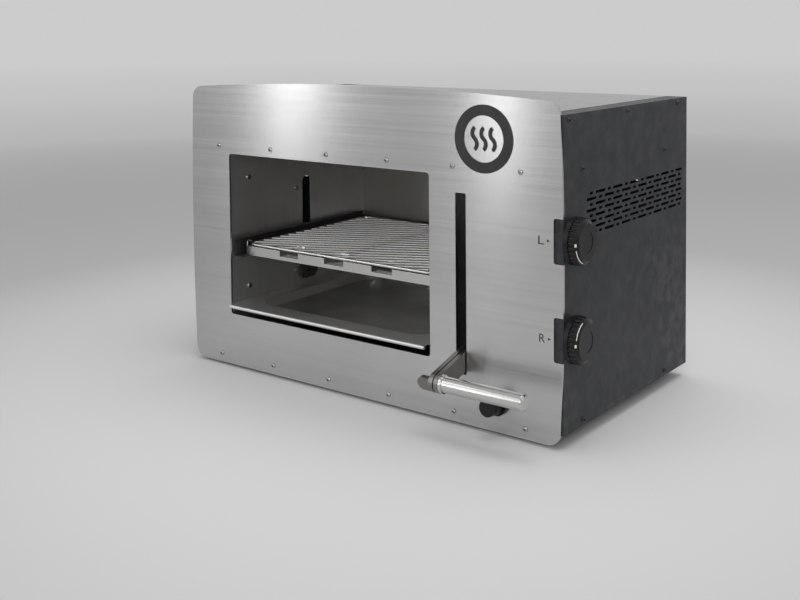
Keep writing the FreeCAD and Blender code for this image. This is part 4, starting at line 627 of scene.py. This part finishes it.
WINDOW_MIDDLE = -56.7
NOTCH_PITCH = 84.6
STRIP_WIDTH = 16.0
STRIP_SECTION = [(46.6, 177.4), (47.5, 177.4), (48.2, 181.1), (47.3, 181.1)]
HOOK_Y = 24.6
HOOK_MIDDLE = (-223.3, 181.4)
HOOK_BEND = 3.2
HOOK_FOOT = (-226.5, 166.0)
HOOK_TIP = (-217.5, 184.6)
HOOK_RADIUS = 1.1

shape = bmesh.new()
for index in (-1, 0, 1):
    left = WINDOW_MIDDLE + NOTCH_PITCH * index - STRIP_WIDTH / 2
    prism(shape, [spot(left, y, z) for y, z in STRIP_SECTION], Vector((STRIP_WIDTH * MM, 0, 0)))
place_piece("rack_strips", finished("rack_strips", shape), "rack_frame")


def wire(name, path, radius, like):
    """A round wire along a path of points, its ends closed."""
    curve = bpy.data.curves.new(name, "CURVE")
    curve.dimensions = "3D"
    curve.bevel_depth = radius * MM
    curve.bevel_resolution = 4
    curve.use_fill_caps = True
    line = curve.splines.new("POLY")
    line.points.add(len(path) - 1)
    for point, place in zip(line.points, path):
        point.co = (*place, 1.0)
    mesh = mesh_of(curve)
    mesh.materials.clear()
    soft_shade(mesh)
    place_piece(name, mesh, like)


hook = [HOOK_FOOT]
for degrees in range(0, 91, 15):
    turn = math.radians(degrees)
    hook.append((HOOK_MIDDLE[0] - HOOK_BEND * math.cos(turn), HOOK_MIDDLE[1] + HOOK_BEND * math.sin(turn)))
hook.append(HOOK_TIP)
wire("rack_hook", [spot(x, HOOK_Y, z) for x, z in hook], HOOK_RADIUS, "rack_frame")


# Stage: floor, sky, lamps and camera

FAR_TONE = 0.6
FLOOR_REACH = 12.0        # metres from the grill to where the floor has the backdrop's tone
# Floor tones by distance from the grill: a painted pool of light near it and painted shade from about one to
# three metres out.
FLOOR_LIGHT_POOL_TONES = [(0.0, 0.72), (0.35, 0.68), (1.0, 0.44), (3.0, 0.45), (6.0, 0.54), (FLOOR_REACH, FAR_TONE)]
FLOOR_FADE = (1.3, 3.5)   # metres between which the lit floor turns into the backdrop
FLOOR_HALF = 60.0
SKY_TONE = 0.8
SKY_STRENGTH = 0.6

# Each lamp's place, the point that it faces, its width and height, and its power in watts.
LAMPS = {
    "band_light": ((-1.84, -2.0, 1.2), (-0.13, -0.15, 0.3), (0.16, 2.4), 5),
    "second_band_light": ((-0.945, -2.0, 0.45), (0.24, -0.15, 0.15), (0.08, 0.8), 0.95),
    "front_light": ((-0.9, -2.4, 1.5), (0.1, 0.0, 0.2), (1.8, 1.6), 4.5),
    "inner_light": ((1.25, -2.0, 0.9), (-0.1, -0.1, 0.2), (0.5, 0.7), 13),
    "top_light": ((0.3, 0.4, 2.4), (0.0, 0.0, 0.2), (2.4, 2.0), 34),
    "side_light": ((2.6, 0.3, 1.2), (0.3, 0.0, 0.2), (1.2, 1.6), 2),
}

CAMERA_PLACE = (0.93384, -1.28294, 0.50822)
CAMERA_TURNS = (37.53, 2.78, -0.5)    # degrees round, down and tipped
CAMERA_LENS = 50.05
SENSOR_WIDTH = 36.0
CAMERA_SHIFT = -0.2836


def ramp(tree, value, stops):
    """Greys along a value, from pairs of a place and a tone."""
    made = put(tree, "ShaderNodeValToRGB", {0: value})
    places = made.color_ramp.elements
    while len(places) < len(stops):
        places.new(1.0)
    for element, (place, tone) in zip(places, stops):
        element.position = place
        element.color = grey(tone)
    return made.outputs[0]


def looked_at(tree):
    """1 for rays that show a surface to the eye, straight or in metal or glass, and 0 for light."""
    path = put(tree, "ShaderNodeLightPath").outputs
    mirrored = maths(tree, "MAXIMUM", path["Is Glossy Ray"], path["Is Transmission Ray"])
    return maths(tree, "MAXIMUM", path["Is Camera Ray"], mirrored)


def make_floor():
    """A pale floor with a painted pool of light round the grill and painted shade from about one to three
    metres out, that melts into the backdrop far away.
    """
    material, tree, shader = start_material("pale floor")
    reached = put(tree, "ShaderNodeVectorMath", {0: object_point(tree)}, operation="LENGTH")
    distance = reached.outputs["Value"]
    tone = ramp(tree, spread(tree, distance, 0.0, FLOOR_REACH),
                [(reach / FLOOR_REACH, value) for reach, value in FLOOR_LIGHT_POOL_TONES])
    tree.links.new(tone, shader.inputs["Base Color"])
    shader.inputs["Roughness"].default_value = 0.75
    shader.inputs["Specular IOR Level"].default_value = 0.15
    far = maths(tree, "MULTIPLY", spread(tree, distance, *FLOOR_FADE), looked_at(tree))
    backdrop = put(tree, "ShaderNodeEmission", {"Color": tone})
    mixed = put(tree, "ShaderNodeMixShader", {0: far, 1: shader.outputs[0], 2: backdrop.outputs[0]})
    tree.links.new(mixed.outputs[0], tree.nodes["Material Output"].inputs["Surface"])
    mesh = bpy.data.meshes.new("floor")
    corners = [(x * FLOOR_HALF, y * FLOOR_HALF, 0) for x, y in ((-1, -1), (1, -1), (1, 1), (-1, 1))]
    mesh.from_pydata(corners, [], [(0, 1, 2, 3)])
    mesh.materials.append(material)
    floor = bpy.data.objects.new("floor", mesh)
    scene.collection.objects.link(floor)


def make_sky():
    world = bpy.data.worlds.new("studio")
    scene.world = world
    world.use_nodes = True
    tree = world.node_tree
    tree.nodes.clear()
    shown = put(tree, "ShaderNodeBackground", {"Color": grey(FAR_TONE), "Strength": 1.0})
    lighting = put(tree, "ShaderNodeBackground", {"Color": grey(SKY_TONE), "Strength": SKY_STRENGTH})
    mixed = put(tree, "ShaderNodeMixShader",
                {0: looked_at(tree), 1: lighting.outputs[0], 2: shown.outputs[0]})
    put(tree, "ShaderNodeOutputWorld", {"Surface": mixed.outputs[0]})


def softbox(name, place, target, size, watts):
    lamp = bpy.data.lights.new(name, "AREA")
    lamp.shape = "RECTANGLE"
    lamp.size, lamp.size_y = size
    lamp.energy = watts
    made = bpy.data.objects.new(name, lamp)
    made.location = place
    made.rotation_euler = (Vector(target) - Vector(place)).to_track_quat("-Z", "Y").to_euler()
    scene.collection.objects.link(made)


def make_camera():
    azimuth, elevation, roll = (math.radians(angle) for angle in CAMERA_TURNS)
    level = math.cos(elevation)
    ahead = Vector((-math.sin(azimuth) * level, math.cos(azimuth) * level, -math.sin(elevation)))
    side = Vector((math.cos(azimuth), math.sin(azimuth), 0.0))
    above = side.cross(ahead)
    right = side * math.cos(roll) + above * math.sin(roll)
    up = above * math.cos(roll) - side * math.sin(roll)
    data = bpy.data.cameras.new("camera")
    data.lens = CAMERA_LENS
    data.sensor_width = SENSOR_WIDTH
    data.shift_y = CAMERA_SHIFT
    camera = bpy.data.objects.new("camera", data)
    turn = Matrix((right, up, -ahead)).transposed()
    camera.matrix_world = Matrix.Translation(CAMERA_PLACE) @ turn.to_4x4()
    scene.collection.objects.link(camera)
    scene.camera = camera


make_floor()
make_sky()
make_camera()
for name, (place, target, size, watts) in LAMPS.items():
    softbox(name, place, target, size, watts)

scene.view_settings.view_transform = "Standard"
